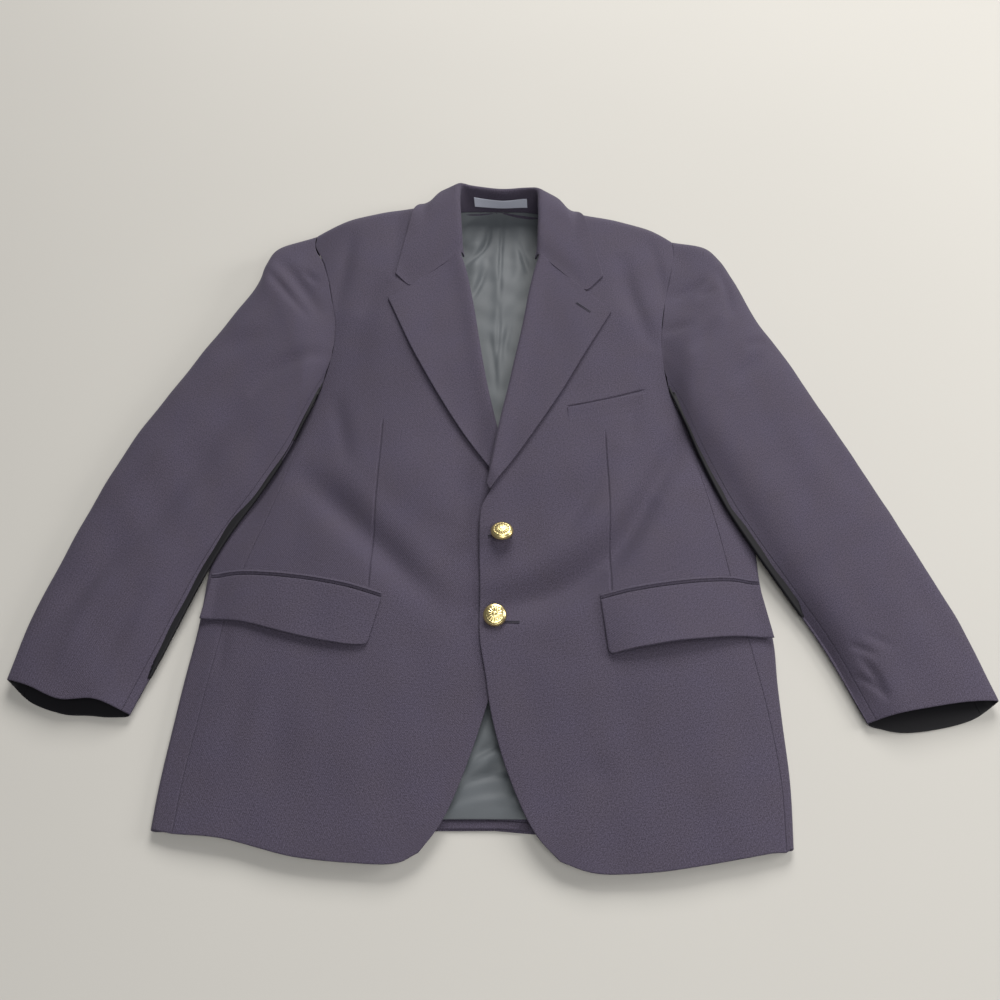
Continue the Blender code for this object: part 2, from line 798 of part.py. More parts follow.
def body_under(side, x, y):
    # The highest cloth of the body near a place: the sleeve passes over it.
    highest = 0.0
    for reach in BODY_REACHES:
        for step in range(BODY_TURNS):
            turn = step * math.tau / BODY_TURNS
            near_x, near_y = x + reach * math.cos(turn), y + reach * math.sin(turn)
            inside = (body_edge(side, near_y) - near_x) * side
            if inside > -1 and near_y < ARMHOLE[side][2][1] - BODY_BELOW_ARMHOLE:
                highest = max(highest, top(side, near_x, near_y) + BODY_CLEAR)
    return highest


def ring(side, s, turn):
    # A point of the sleeve: s from cuff to armhole, turn round it from the outer fold over
    # the top (0 to pi) and back under the sleeve (pi to 2 pi).
    inner, outer, cuff, seam_front, seam_back = SLEEVE_LINES[side]
    t = (1 + math.cos(turn)) / 2
    upper = turn <= math.pi
    edge_in, edge_out = inner(s), outer(s)
    height_in = edge_in.z
    height_out = read(SLEEVE_LOFT, "outer", s, "place")
    loft = read(SLEEVE_LOFT, "loft", s, "place")
    seam = seam_front(t) if upper else seam_back(t)
    worn = on_front(side, seam.x, seam.y) if upper else on_back(side, seam.x, seam.y)
    ends = [inner(0).lerp(outer(0), t), inner(1).lerp(outer(1), t)]
    plan = edge_in.lerp(edge_out, t) + cuff(t).lerp(worn, s) - ends[0].lerp(ends[1], s)
    level = height_in + (height_out - height_in) * t
    head = 1 - ease((1 - s) / HEAD_SHARE)
    if upper:
        crest = level + (loft - level) * math.sin(turn) ** CREST_POWER
        return Vector((plan.x, plan.y, crest + (worn.z - crest) * head))
    span = (edge_out - edge_in).length
    radius = height_out if t > 0.5 else min(height_in, UNDER_FOLD)
    inward = min(min(t, 1 - t) * span, radius)
    bend = radius - math.sqrt(radius ** 2 - (radius - inward) ** 2)
    if t > 0.5:
        z = bend + (worn.z - bend) * head
    else:
        z = bend + (height_in - radius) * (1 - ease(t * span / UNDER_RUN))
    cap = level - ARMPIT_DROP * ease(t * span / ARMPIT_ACROSS) * ease((s - ARMPIT_FROM) / ARMPIT_SHARE)
    z = max(z, min(body_under(side, plan.x, plan.y), cap))
    column = "right" if side < 0 else "left"
    drop = read(CUFF_DROP, column, t, "place") * ease(1 - s / CUFF_SHARE)
    return Vector((plan.x, plan.y - drop, z))


def sleeve(side):
    last = math.tau + SEAM_UNDER - SEAM_UNDER_GAP

    def top_surface(u, v):
        turn = SEAM_UNDER + (SEAM_TOP - SEAM_UNDER) * u
        return ring(side, v * (1 - HEAD_SEAM / SLEEVE_LENGTH), turn % math.tau)

    def under_surface(u, v):
        first = SEAM_TOP + SEAM_TOP_GAP + SEAM_TOP_SPREAD * ease((v - 0.7) / 0.3)
        turn = first + (last - first) * u
        return ring(side, v * (1 - HIDDEN_SEAM / SLEEVE_LENGTH), turn % math.tau)

    for name, surface, columns in (("sleeve_top", top_surface, SLEEVE_TOP_COLUMNS),
                                   ("sleeve_under", under_surface, SLEEVE_UNDER_COLUMNS)):
        cloth(f"{name}_{NAMES[side]}", surface, columns, SLEEVE_ROWS, SHELL, turned=side > 0)


def pocket(side):
    head, foot = line(FLAP_TOP[side]), line(FLAP_FOOT[side])

    def base(place):
        fold = read(SIDES[side], "fold", place.y)
        inward = max((fold - place.x) * side, FLAP_FROM_FOLD)
        return top(side, fold - side * inward, place.y)

    def flap(u, v):
        place = head(u).lerp(foot(u), 1 - v)
        stand = (1 - v) ** FLAP_STAND_POWER * FLAP_STAND[side]
        return Vector((place.x, place.y, base(place) + FLAP + LAYER + stand))

    def jetting(u, v):
        place = head(u) + Vector((0, SEAM + JETTING_WIDTH * v, 0))
        return Vector((place.x, place.y, base(place) + STRIP + LAYER))

    cloth(f"flap_{NAMES[side]}", flap, POCKET_COLUMNS, FLAP_ROWS, FLAP, turned=side < 0)
    cloth(f"jetting_{NAMES[side]}", jetting, POCKET_COLUMNS, 1, STRIP, turned=side < 0)


def breast_welt():
    head = line(WELT_TOP)

    def surface(u, v):
        place = head(u) - Vector((0, WELT_WIDTH * (1 - v), 0))
        return Vector((place.x, place.y, top(1, place.x, place.y) + STRIP + LAYER))

    cloth("breast_welt", surface, WELT_COLUMNS, WELT_ROWS, STRIP)


def back_lining():
    def surface(u, v):
        reach = 2 * u - 1
        side = -1 if reach < 0 else 1
        spread = math.copysign(abs(reach) ** LINING_SPREAD, reach)
        flat = 1 - (1 - v) ** LINING_SPREAD
        width = LINING_WIDTH - LINING_TAPER * ease((flat - 0.5) / 0.2)
        x = spread * width + LINING_CENTRE
        high = neckline(side, x) - 2 if abs(x) < LINING_NECK else ridge(side, x)[0] - 4
        y = LINING_LOW + (high - LINING_LOW) * flat
        lift = (max(folds(LINING_FOLDS, x, y), 0.0)
                + LINING_LIFT * ease((y - LINING_LIFT_Y) / LINING_LIFT_RUN))
        return on_back(side, x, y, SHELL + LAYER + LINING + lift)

    cloth("back_lining", surface, LINING_CELLS, LINING_CELLS, LINING, LINING_COLOUR, roughness=0.35)


def back_hem():
    def surface(u, v):
        x = BACK_HEM_FROM + BACK_HEM_LENGTH * u
        y = BACK_HEM_Y + BACK_HEM_INSIDE - max(x, 0) * BACK_HEM_SLANT + BACK_HEM_WIDTH * v
        return Vector((x, y, SHELL + LAYER + STRIP))

    cloth("back_hem", surface, HEM_COLUMNS, 1, STRIP)


def button(name, x, y, tilt):
    profile = bmesh.new()
    points = [(0.0, BUTTON_DOME)]
    for step in range(1, DOME_STEPS + 1):
        turn = step * DOME_TURN
        points.append((BUTTON_RADIUS * math.sin(turn), BUTTON_DOME * math.cos(turn)))
    end = -BUTTON_BACK - SHANK_HEIGHT
    points += [(BUTTON_RADIUS, -BUTTON_RIM), (BUTTON_RADIUS * BUTTON_BACK_SHARE, -BUTTON_BACK),
               (SHANK_RADIUS, -SHANK_FOOT), (SHANK_RADIUS, end), (0.0, end)]
    verts = [profile.verts.new(Vector((r, 0, z)) * MILLIMETRE) for r, z in points]
    for a, b in zip(verts, verts[1:]):
        profile.edges.new((a, b))
    data = bpy.data.meshes.new(name)
    profile.to_mesh(data)
    profile.free()
    made = bpy.data.objects.new(name, data)
    parts.objects.link(made)
    data.materials.append(material(name + "_brass", BRASS_COLOUR, 0.3, 1.0))
    screw = made.modifiers.new("turned", "SCREW")
    screw.steps = BUTTON_STEPS
    screw.render_steps = BUTTON_STEPS
    screw.use_merge_vertices = True
    screw.merge_threshold = 0.00001
    screw.use_smooth_shade = True
    height = top(1, x, y) + SHANK_HEIGHT + BUTTON_RISE
    made.location = Vector((x, y, height)) * MILLIMETRE
    made.rotation_euler = (math.radians(tilt), 0, 0)


for old in list(bpy.data.objects):
    bpy.data.objects.remove(old, do_unlink=True)

parts = bpy.data.collections.new("blazer")
bpy.context.scene.collection.children.link(parts)

LAPEL_LINES = {side: lapel_lines(side) for side in (-1, 1)}
SLEEVE_LINES = {side: sleeve_lines(side) for side in (-1, 1)}
COLLAR_LINES = [line([row[i] for row in COLLAR_ROWS]) for i in range(4)]

for half in (-1, 1):
    back(half)
    side_body(half)
    front(half)
    lapel(half)
    sleeve(half)
    pocket(half)
collar()
neck_label()
back_lining()
back_hem()
breast_welt()
for details in BUTTONS:
    button(*details)
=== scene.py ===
import math

import bmesh
import bpy
import numpy as np
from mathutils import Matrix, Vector


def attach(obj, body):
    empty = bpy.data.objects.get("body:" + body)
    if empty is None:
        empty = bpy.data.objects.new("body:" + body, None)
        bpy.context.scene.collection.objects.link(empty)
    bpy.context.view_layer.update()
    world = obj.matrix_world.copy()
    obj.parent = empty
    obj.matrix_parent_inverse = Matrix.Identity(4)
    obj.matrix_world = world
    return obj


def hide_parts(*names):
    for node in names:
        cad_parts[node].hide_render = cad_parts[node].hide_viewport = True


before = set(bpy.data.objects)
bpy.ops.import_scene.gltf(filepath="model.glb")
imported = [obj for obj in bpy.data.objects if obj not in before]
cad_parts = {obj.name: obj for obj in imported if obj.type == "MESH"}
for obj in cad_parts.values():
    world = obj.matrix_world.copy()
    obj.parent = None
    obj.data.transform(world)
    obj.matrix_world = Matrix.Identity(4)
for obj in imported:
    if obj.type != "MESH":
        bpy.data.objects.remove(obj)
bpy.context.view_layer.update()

# A two button blazer laid on its back. Sizes are in millimetres until a mesh is made.
# side is +1 for the wearer's left half (at the picture's right) and -1 for the right half.
# The tables of the body and sleeves repeat those of the solids, apart from more and deeper
# creases, lower inner sides of the sleeves and lower ends of the collar.

millimetre = 0.001
sideNames = {-1: "right", 1: "left"}
print("frame loaded,", len(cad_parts), "nodes")


def linked(name, data):
    made = bpy.data.objects.new(name, data)
    bpy.context.scene.collection.objects.link(made)
    return made


# Camera, light and floor

viewPoint = {"place": (0.0, -0.630, 0.958836), "tilt": 32.0668, "lens": 37.8, "sensor": 36.0}

eye = bpy.data.cameras.new("eye")
eye.lens = viewPoint["lens"]
eye.sensor_width = viewPoint["sensor"]
eyeObject = linked("eye", eye)
eyeObject.location = viewPoint["place"]
eyeObject.rotation_euler = (math.radians(viewPoint["tilt"]), 0, 0)
bpy.context.scene.camera = eyeObject
bpy.context.scene.view_settings.view_transform = "Standard"


def softLight(name, place, aim, size, power, colour):
    lamp = bpy.data.lights.new(name, "AREA")
    lamp.shape = "SQUARE"
    lamp.size = size
    lamp.energy = power
    lamp.color = colour
    holder = linked(name, lamp)
    holder.location = place
    holder.rotation_euler = (Vector(aim) - Vector(place)).to_track_quat("-Z", "Y").to_euler()


softLight("keyLight", (0.4, 2.5, 2.05), (0.0, -0.1, 0.0), 1.8, 98.0, (1.0, 0.99, 0.97))
softLight("topLight", (0.3, -1.1, 1.8), (0.0, 0.1, 0.0), 1.2, 20.0, (1.0, 1.0, 0.99))
softLight("sideLight", (2.0, 0.3, 1.0), (0.0, -0.05, 0.0), 0.8, 19.0, (1.0, 0.99, 0.97))

world = bpy.data.worlds.new("studio")
bpy.context.scene.world = world
world.use_nodes = True
world.node_tree.nodes["Background"].inputs["Color"].default_value = (0.9, 0.92, 0.95, 1)
world.node_tree.nodes["Background"].inputs["Strength"].default_value = 0.12


# Materials

def linearColour(code):
    # an sRGB hex value as the linear colour that the shader takes
    parts = [int(code[i:i + 2], 16) / 255 for i in (1, 3, 5)]
    return tuple(c / 12.92 if c <= 0.04045 else ((c + 0.055) / 1.055) ** 2.4 for c in parts) + (1.0,)


def addNode(tree, kind, settings=None, values=None, links=None):
    node = tree.nodes.new(kind)
    for name, value in (settings or {}).items():
        setattr(node, name, value)
    for socket, value in (values or {}).items():
        node.inputs[socket].default_value = value
    for socket, source in (links or {}).items():
        tree.links.new(source, node.inputs[socket])
    return node


def newMaterial(name, values):
    made = bpy.data.materials.new(name)
    made.use_nodes = True
    shader = made.node_tree.nodes["Principled BSDF"]
    for socket, value in values.items():
        shader.inputs[socket].default_value = value
    return made, made.node_tree, shader


# a diagonal wave of scale 1 repeats every 0.444 units
waveRepeat = 0.444


def noiseOf(tree, place, size, values):
    return addNode(tree, "ShaderNodeTexNoise", {}, {"Scale": 1 / (size * millimetre), **values},
                   {"Vector": place}).outputs["Fac"]


def twoTones(tree, share, colours):
    tones = addNode(tree, "ShaderNodeMix", {"data_type": "RGBA"}, {}, {0: share})
    for socket, code in zip((6, 7), colours):
        tones.inputs[socket].default_value = linearColour(code)
    return tones.outputs[2]


def clothFinish(name, look):
    # a woven cloth: slanting ribs, uneven threads and a slow drift of colour, on the cloth's own grain
    made, tree, shader = newMaterial(name, look["shader"])
    grain = addNode(tree, "ShaderNodeUVMap", {"uv_map": "grain"}).outputs["UV"]
    ribs = addNode(tree, "ShaderNodeTexWave", {"bands_direction": "DIAGONAL"},
                   {"Scale": waveRepeat / (look["ribSpacing"] * millimetre), "Distortion": 1.2,
                    "Detail": 2.0, "Detail Scale": 1.5}, {"Vector": grain}).outputs["Fac"]
    threads = noiseOf(tree, grain, look["threadSize"], {"Detail": 2.0, "Roughness": 0.6})
    drift = noiseOf(tree, grain, look["driftSize"], {"Detail": 3.0})
    base = twoTones(tree, drift, look["colours"])
    speck = addNode(tree, "ShaderNodeMapRange", {},
                    {"From Min": 0.3, "From Max": 0.7, "To Min": 1 - look["speckle"],
                     "To Max": 1 + look["speckle"]}, {"Value": threads})
    ribTone = addNode(tree, "ShaderNodeMapRange", {},
                      {"To Min": 1 - look["ribTone"], "To Max": 1 + look["ribTone"]}, {"Value": ribs})
    tone = addNode(tree, "ShaderNodeMath", {"operation": "MULTIPLY"}, {},
                   {0: speck.outputs[0], 1: ribTone.outputs[0]})
    shade = addNode(tree, "ShaderNodeVectorMath", {"operation": "SCALE"}, {},
                    {0: base, "Scale": tone.outputs[0]})
    tree.links.new(shade.outputs[0], shader.inputs["Base Color"])
    height = addNode(tree, "ShaderNodeMath", {"operation": "ADD"}, {}, {0: ribs, 1: threads})
    relief = addNode(tree, "ShaderNodeBump", {},
                     {"Strength": look["bumpStrength"], "Distance": look["bumpHeight"] * millimetre},
                     {"Height": height.outputs[0]})
    tree.links.new(relief.outputs[0], shader.inputs["Normal"])
    return made


# Worsted wool, woven in a fine twill and pressed: nearly smooth, matt, with a dry grey sheen.
# The real ribs are 0.5 mm apart, too fine to show, so they are drawn at 1.5 mm.
worsted = clothFinish("worstedWoolTwill", {
    "colours": ("#4b4450", "#4b4557"), "ribSpacing": 1.5, "threadSize": 1.3, "driftSize": 45.0,
    "speckle": 0.44, "ribTone": 0.07, "bumpStrength": 0.35, "bumpHeight": 0.25,
    "shader": {"Roughness": 0.86, "Specular IOR Level": 0.28, "Sheen Weight": 0.16,
               "Sheen Roughness": 0.45, "Sheen Tint": linearColour("#b9b6c8")}})

# Acetate satin, woven with long floats: silky, with broad soft highlights along its creases.
liningSatin = clothFinish("acetateSatinLining", {
    "colours": ("#54585c", "#5f6469"), "ribSpacing": 0.9, "threadSize": 1.2, "driftSize": 60.0,
    "speckle": 0.04, "ribTone": 0.02, "bumpStrength": 0.12, "bumpHeight": 0.1,
    "shader": {"Roughness": 0.58, "Specular IOR Level": 0.4, "Sheen Weight": 0.1,
               "Sheen Roughness": 0.3}})

# The inside of a sleeve, painted near black: the shade in the hollows of the cuffs is painted into its colour
# in place of a lining's own colour.
sleeveInsideShade = clothFinish("sleeveInsidePaintedShade", {
    "colours": ("#131216", "#18171b"), "ribSpacing": 1.2, "threadSize": 1.2, "driftSize": 50.0,
    "speckle": 0.05, "ribTone": 0.03, "bumpStrength": 0.1, "bumpHeight": 0.1,
    "shader": {"Roughness": 0.6, "Specular IOR Level": 0.25}})

# A damask label woven of fine polyester: a pale slate blue with close ribs across.
labelDamask = clothFinish("wovenPolyesterLabel", {
    "colours": ("#c6c9d8", "#cfd2e0"), "ribSpacing": 0.8, "threadSize": 0.9, "driftSize": 30.0,
    "speckle": 0.05, "ribTone": 0.05, "bumpStrength": 0.2, "bumpHeight": 0.1,
    "shader": {"Roughness": 0.5, "Specular IOR Level": 0.45}})

# Twisted silk thread of the buttonholes, a little glossier than the wool; it is darker than the wool because
# the shade of the slit is painted into its colour.
threadWithSlitShade = clothFinish("buttonholeThreadPaintedShade", {
    "colours": ("#3a3642", "#403c4a"), "ribSpacing": 0.5, "threadSize": 0.6, "driftSize": 20.0,
    "speckle": 0.08, "ribTone": 0.08, "bumpStrength": 0.3, "bumpHeight": 0.1,
    "shader": {"Roughness": 0.6, "Specular IOR Level": 0.4}})


def brassFinish(name, look):
    # stamped and polished brass, its tone and its polish a little uneven
    made, tree, shader = newMaterial(name, look["shader"])
    place = addNode(tree, "ShaderNodeTexCoord").outputs["Object"]
    haze = noiseOf(tree, place, look["hazeSize"], {"Detail": 4.0})
    tree.links.new(twoTones(tree, haze, look["colours"]), shader.inputs["Base Color"])
    low, high = look["roughness"]
    polish = addNode(tree, "ShaderNodeMapRange", {}, {"To Min": low, "To Max": high}, {"Value": haze})
    tree.links.new(polish.outputs[0], shader.inputs["Roughness"])
    return made


polishedBrass = brassFinish("polishedStampedBrass", {
    "colours": ("#f6dc8e", "#fbeab4"), "hazeSize": 2.0, "roughness": (0.24, 0.38),
    "shader": {"Metallic": 1.0}})


def floorFinish(name, code):
    made, tree, shader = newMaterial(name, {"Roughness": 0.9, "Specular IOR Level": 0.2})
    place = addNode(tree, "ShaderNodeTexCoord").outputs["Object"]
    mottle = addNode(tree, "ShaderNodeTexNoise", {}, {"Scale": 3.0, "Detail": 2.0}, {"Vector": place})
    tone = addNode(tree, "ShaderNodeMapRange", {}, {"To Min": 0.985, "To Max": 1.015},
                   {"Value": mottle.outputs["Fac"]})
    shade = addNode(tree, "ShaderNodeVectorMath", {"operation": "SCALE"}, {},
                    {"Scale": tone.outputs[0]})
    shade.inputs[0].default_value = linearColour(code)[:3]
    tree.links.new(shade.outputs[0], shader.inputs["Base Color"])
    return made


floorSize = 8.0
# the floor lies a little lower than the cloth that rests on it
floorHeight = -0.0005
floorMesh = bpy.data.meshes.new("paleFloor")
floorForm = bmesh.new()
bmesh.ops.create_grid(floorForm, x_segments=1, y_segments=1, size=floorSize / 2)
floorForm.to_mesh(floorMesh)
floorForm.free()
floorMesh.materials.append(floorFinish("mattStudioFloor", "#c8c5bf"))
paleFloor = linked("paleFloor", floorMesh)
paleFloor.location.z = floorHeight
print("camera, lights, floor and finishes made")


# Curves and tables

def table(names, *rows):
    return {name: [row[i] for row in rows] for i, name in enumerate(names.split())}


def cubicStep(start, end, startSlope, endSlope, t):
    square, cube = t * t, t * t * t
    return (start * (2 * cube - 3 * square + 1) + end * (3 * square - 2 * cube)
            + startSlope * (cube - 2 * square + t) + endSlope * (cube - square))


def readColumn(rows, name, place, key="y"):
    # a smooth reading of one column at places of the key column
    keys, values = np.array(rows[key], float), np.array(rows[name], float)
    rises = np.diff(values) / np.diff(keys)
    slopes = np.concatenate([rises[:1], (values[2:] - values[:-2]) / (keys[2:] - keys[:-2]), rises[-1:]])
    place = np.clip(place, keys[0], keys[-1])
    i = np.clip(np.searchsorted(keys, place, side="right") - 1, 0, len(keys) - 2)
    width = keys[i + 1] - keys[i]
    return cubicStep(values[i], values[i + 1], slopes[i] * width, slopes[i + 1] * width,
                     (place - keys[i]) / width)


def mix(a, b, t):
    return a + (b - a) * np.asarray(t)[..., None]


def unit(vectors):
    return vectors / np.maximum(np.linalg.norm(vectors, axis=-1, keepdims=True), 1e-9)


def smoothLine(points, steps=16):
    # a smooth curve through the points, read by its share of the length
    points = np.array([tuple(p) + (0.0,) * (3 - len(p)) for p in points], float)
    ends = np.vstack([2 * points[0] - points[1], points, 2 * points[-1] - points[-2]])
    t = np.arange(steps)[:, None] / steps
    path = [cubicStep(ends[i + 1], ends[i + 2], (ends[i + 2] - ends[i]) / 2,
                      (ends[i + 3] - ends[i + 1]) / 2, t) for i in range(len(points) - 1)]
    path = np.vstack(path + [points[-1:]])
    lengths = np.concatenate([[0.0], np.cumsum(np.linalg.norm(np.diff(path, axis=0), axis=1))])

    def at(share):
        target = np.clip(share, 0.0, 1.0) * lengths[-1]
        return np.stack([np.interp(target, lengths, path[:, k]) for k in range(3)], -1)

    return at


def joinedLines(first, second, share):
    def at(t):
        t = np.asarray(t, float)
        before = first(t / share)
        return np.where((t <= share)[..., None], before, second((t - share) / (1 - share)))
    return at


def patchBetween(left, right, bottom, top):
    # a surface between four curves that meet at its corners
    corners = bottom(0.0), bottom(1.0), top(0.0), top(1.0)

    def at(u, v):
        ruled = mix(left(v), right(v), u) + mix(bottom(u), top(u), v)
        return ruled - mix(mix(corners[0], corners[1], u), mix(corners[2], corners[3], u), v)

    return at


def ease(part):
    part = np.clip(part, 0.0, 1.0)
    return part * part * (3 - 2 * part)


def creaseHeight(rows, x, y):
    # what a table's soft creases add: bow is how far a crease's middle swings to its left
    total = np.zeros(np.broadcast(x, y).shape)
    for x1, y1, x2, y2, width, depth, bow in zip(*rows.values()):
        along, up = x2 - x1, y2 - y1
        length = math.hypot(along, up)
        part = ((x - x1) * along + (y - y1) * up) / length ** 2
        swell = np.sin(np.pi * np.clip(part, 0.0, 1.0))
        off = ((y - y1) * along - (x - x1) * up) / length - bow * swell
        total += depth * swell * np.exp(-(off / width) ** 2)
    return total


def softWaves(x, y, seed, height, shortest=38.0, longest=95.0, count=8):
    # the slight unevenness of pressed cloth
    draws = np.random.default_rng(seed)
    total = 0.0
    for heading, length, phase in zip(draws.uniform(0, math.pi, count),
                                      draws.uniform(shortest, longest, count),
                                      draws.uniform(0, math.tau, count)):
        along = x * math.cos(heading) + y * math.sin(heading)
        total = total + np.sin(along * math.tau / length + phase)
    return total * height / math.sqrt(count / 2)


# The form of the body

gaps = {"seam": 0.06, "shoulder": 0.12, "head": 0.1, "hidden": 2.0, "layer": 0.5}
walls = {"cloth": 1.5, "lapel": 1.6, "collar": 2.2, "flap": 2.4, "strip": 1.2, "lining": 1.0, "label": 1.0}

# fold is the side fold's radius, rise the distance in which the cloth climbs from it, and
# outer, middle and inner the heights at loftPlaces and at the centre
loftPlaces = {"outer": 210.0, "middle": 120.0}
loft = table(
    "y    fold  rise  outer  middle  innerRight  innerLeft",
    (-420, 4.5, 60, 12, 13, 11, 13),
    (-340, 4.5, 80, 16, 18, 14, 17),
    (-240, 5.0, 100, 22, 25, 19, 23.5),
    (-140, 5.0, 120, 27, 31, 23, 29),
    (-50, 5.0, 170, 30, 35, 23.5, 35.5),
    (40, 5.0, 230, 32, 38, 27, 39.5),
    (120, 5.0, 230, 37, 42, 37, 40),
    (200, 5.0, 150, 43, 45, 41, 41),
    (280, 5.0, 150, 47, 46, 43, 43),
    (340, 5.0, 150, 50, 46, 44, 44),
)

# plan of each half: the folded side edge and the front seam of the side body
sidePlans = {
    -1: table(
        "y    fold  seam",
        (-392, -313, -292),
        (-340, -312, -290),
        (-280, -308, -284),
        (-240, -305, -280),
        (-183, -300, -273),
        (-134, -299, -265),
        (-95, -298, -253),
        (-50, -294, -240),
        (0, -289, -228),
        (62, -283, -219),
    ),
    1: table(
        "y    fold  seam",
        (-404, 260, 253),
        (-340, 266, 257),
        (-280, 267, 254),
        (-240, 268, 250),
        (-200, 270, 243),
        (-153, 266, 236),
        (-125, 265, 232),
        (-83, 266, 228),
        (0, 268, 214),
        (62, 268, 206),
    ),
}

# the line across the shoulders where the cloth turns over to the back
ridgePlan = table(
    "x    right  left",
    (0, 377, 377),
    (60, 368, 360),
    (105, 361, 348),
    (150, 350, 337),
    (190, 340, 327),
    (235, 324, 307),
)

bodyPlan = {
    "armholeY": 62.0, "neckX": 66.0, "shoulderTurn": math.radians(100), "neckTurn": math.radians(66),
    "backSeamX": -5.0, "backHemY": -381.0, "backCorner": {-1: (-251, -382), 1: (198, -399)},
    "sideUnder": 62.0, "bendTurn": math.pi * 0.92, "underLapel": 9.0, "lapelShare": 0.12,
    "waveSeed": 11, "waveHeight": 0.28, "creaseFade": 60.0,
}

# the large soft folds of the fronts, then the creases that show on them
bodyCreases = table(
    "x1   y1   x2    y2   width depth bow",
    (0, -150, 180, 45, 34, -4.0, 0),
    (-12, -135, -185, -20, 30, -3.0, 0),
    (-40, -105, -120, 60, 26, 2.0, 0),
    (150, 200, 190, 285, 20, -2.0, 0),
    (-178, 150, -150, 265, 22, -2.0, 0),
    (60, -330, 230, -290, 30, -1.5, 0),
    (-110, -320, -250, -250, 34, 1.5, 0),
    (-45, -178, 165, -40, 18, -14.0, -36),
    (-30, -150, 140, -6, 15, 3.6, -27),
    (105, -128, 207, 58, 13, -9.0, -3),
    (57, -102, 126, 22, 11, -3.2, 0),
    (138, 22, 160, 104, 9, -2.2, 3),
    (-225, 5, -35, -190, 16, -9.0, -3),
    (-205, 25, -40, -140, 14, 1.6, -3),
    (-186, 97, -160, -8, 10, -2.6, 0),
    (196, 150, 268, -115, 12, -7.0, -6),
    (-200, 135, -290, -110, 12, -7.0, 4),
    (148, 296, 177, 150, 12, -6.5, -7.5),
    (184, 322, 193, 216, 8, -3.2, 2),
    (-180, 338, -191, 206, 10, -3.0, 0),
    (-128, 250, -165, 196, 11, -2.4, -2),
    (206, 300, 189, 168, 8, -1.0, -6),
    (-206, 296, -190, 140, 9, -0.8, 5),
    (-150, 245, -168, 130, 14, -0.9, 4),
    (76, -322, 106, -344, 15, -1.6, 0),
    (-36, -140, -34, -208, 11, -1.4, 0),
    (-26, -94, -88, -70, 9, -0.6, -4),
    (-30, -182, -96, -168, 12, -0.7, 3),
    (20, -196, 84, -236, 14, -0.6, -3),
    (-60, -214, -78, -348, 22, -0.8, 6),
    (150, -236, 172, -372, 26, 0.8, 5),
    (-190, -214, -206, -366, 20, -0.8, -5),
    (-236, -230, -262, -330, 12, -1.3, 4),
    (226, -214, 240, -330, 13, -1.0, -4),
    (-272, -176, -271, -244, 7, -2.4, 0),
    (262, -222, 268, -272, 7, -2.2, 0),
    (112, 118, 170, 10, 24, -0.9, 8),
    (-70, 30, -60, -110, 26, 0.7, -5),
)

frontEdges = {
    -1: ((-72, -403), (-55, -381), (-42, -355), (-26, -312), (-11, -264), (0, -225), (9, -180),
         (14, -130), (17, -90), (18, -50)),
    1: ((53, -411), (34, -391), (20, -366), (4, -325), (-8, -280), (-14, -240), (-20, -200),
        (-20, -150), (-21, -110), (-20, -64)),
}
hemLines = {
    -1: ((-292, -386), (-244, -391), (-184, -406), (-126, -412), (-92, -412), (-72, -403)),
    1: ((253, -402), (240, -403), (213, -408), (151, -418), (110, -421), (80, -420), (53, -411)),
}
rollLines = {
    -1: ((18, -50), (8, 0), (-3, 48), (-12, 90), (-20, 136), (-26, 180), (-33, 227),
         (-40, 265), (-47, 292)),
    1: ((-20, -64), (-10, -8), (-1, 45), (8, 88), (17, 136), (25, 177), (32, 221),
        (39, 258), (47, 289)),
}
lapelEdges = {
    -1: ((17, -42), (5, -30), (-11, -7), (-37, 30), (-64, 75), (-98, 141), (-131, 220)),
    1: ((-11, -40), (3, -20), (28, 18), (62, 75), (95, 137), (129, 199)),
}
armholes = {
    -1: ((-219, 62), (-208, 86), (-199, 116), (-192, 150), (-191, 186), (-196, 216),
         (-203, 250), (-213, 286), (-226, 316)),
    1: ((206, 62), (195, 84), (189, 108), (186, 145), (187, 178), (194, 222),
        (203, 262), (210, 291), (212, 306)),
}


def upperHeight(side, x, y):
    # the height of the upper layer over a place of the plan
    x, y = np.broadcast_arrays(np.asarray(x, float), np.asarray(y, float))
    inner = readColumn(loft, "innerRight" if side < 0 else "innerLeft", y)
    middle = readColumn(loft, "middle", y)
    outer = readColumn(loft, "outer", y)
    outerX, middleX = loftPlaces["outer"], loftPlaces["middle"]
    lastX = outerX - middleX
    reach = np.clip(x * side, 0.0, outerX)
    whole = (outer - inner) / outerX
    near = cubicStep(inner, middle, middle - inner, whole * middleX, reach / middleX)
    far = cubicStep(middle, outer, whole * lastX, outer - middle, (reach - middleX) / lastX)
    full = np.where(reach < middleX, near, far)
    radius = readColumn(loft, "fold", y)
    rise = readColumn(loft, "rise", y)
    inward = (readColumn(sidePlans[side], "fold", y) - x) * side
    lean = np.arctan(2 * (full - 2 * radius) / rise)
    start = radius * (1 - np.sin(lean))
    base = radius * (1 + np.cos(lean))
    climb = 1 - (1 - np.clip((inward - start) / rise, 0, 1)) ** 2
    shape = creaseHeight(bodyCreases, x, y) + softWaves(x, y, bodyPlan["waveSeed"], bodyPlan["waveHeight"])
    climbed = base + (full - base) * climb + shape * ease(inward / bodyPlan["creaseFade"])
    bent = radius + np.sqrt(np.maximum(radius ** 2 - (radius - inward) ** 2, 0))
    return np.where(inward <= 0, radius, np.where(inward < start, bent, climbed))


def ridgeAt(side, x):
    place = readColumn(ridgePlan, sideNames[side], np.abs(x), "x")
    return place, upperHeight(side, x, place) / 2


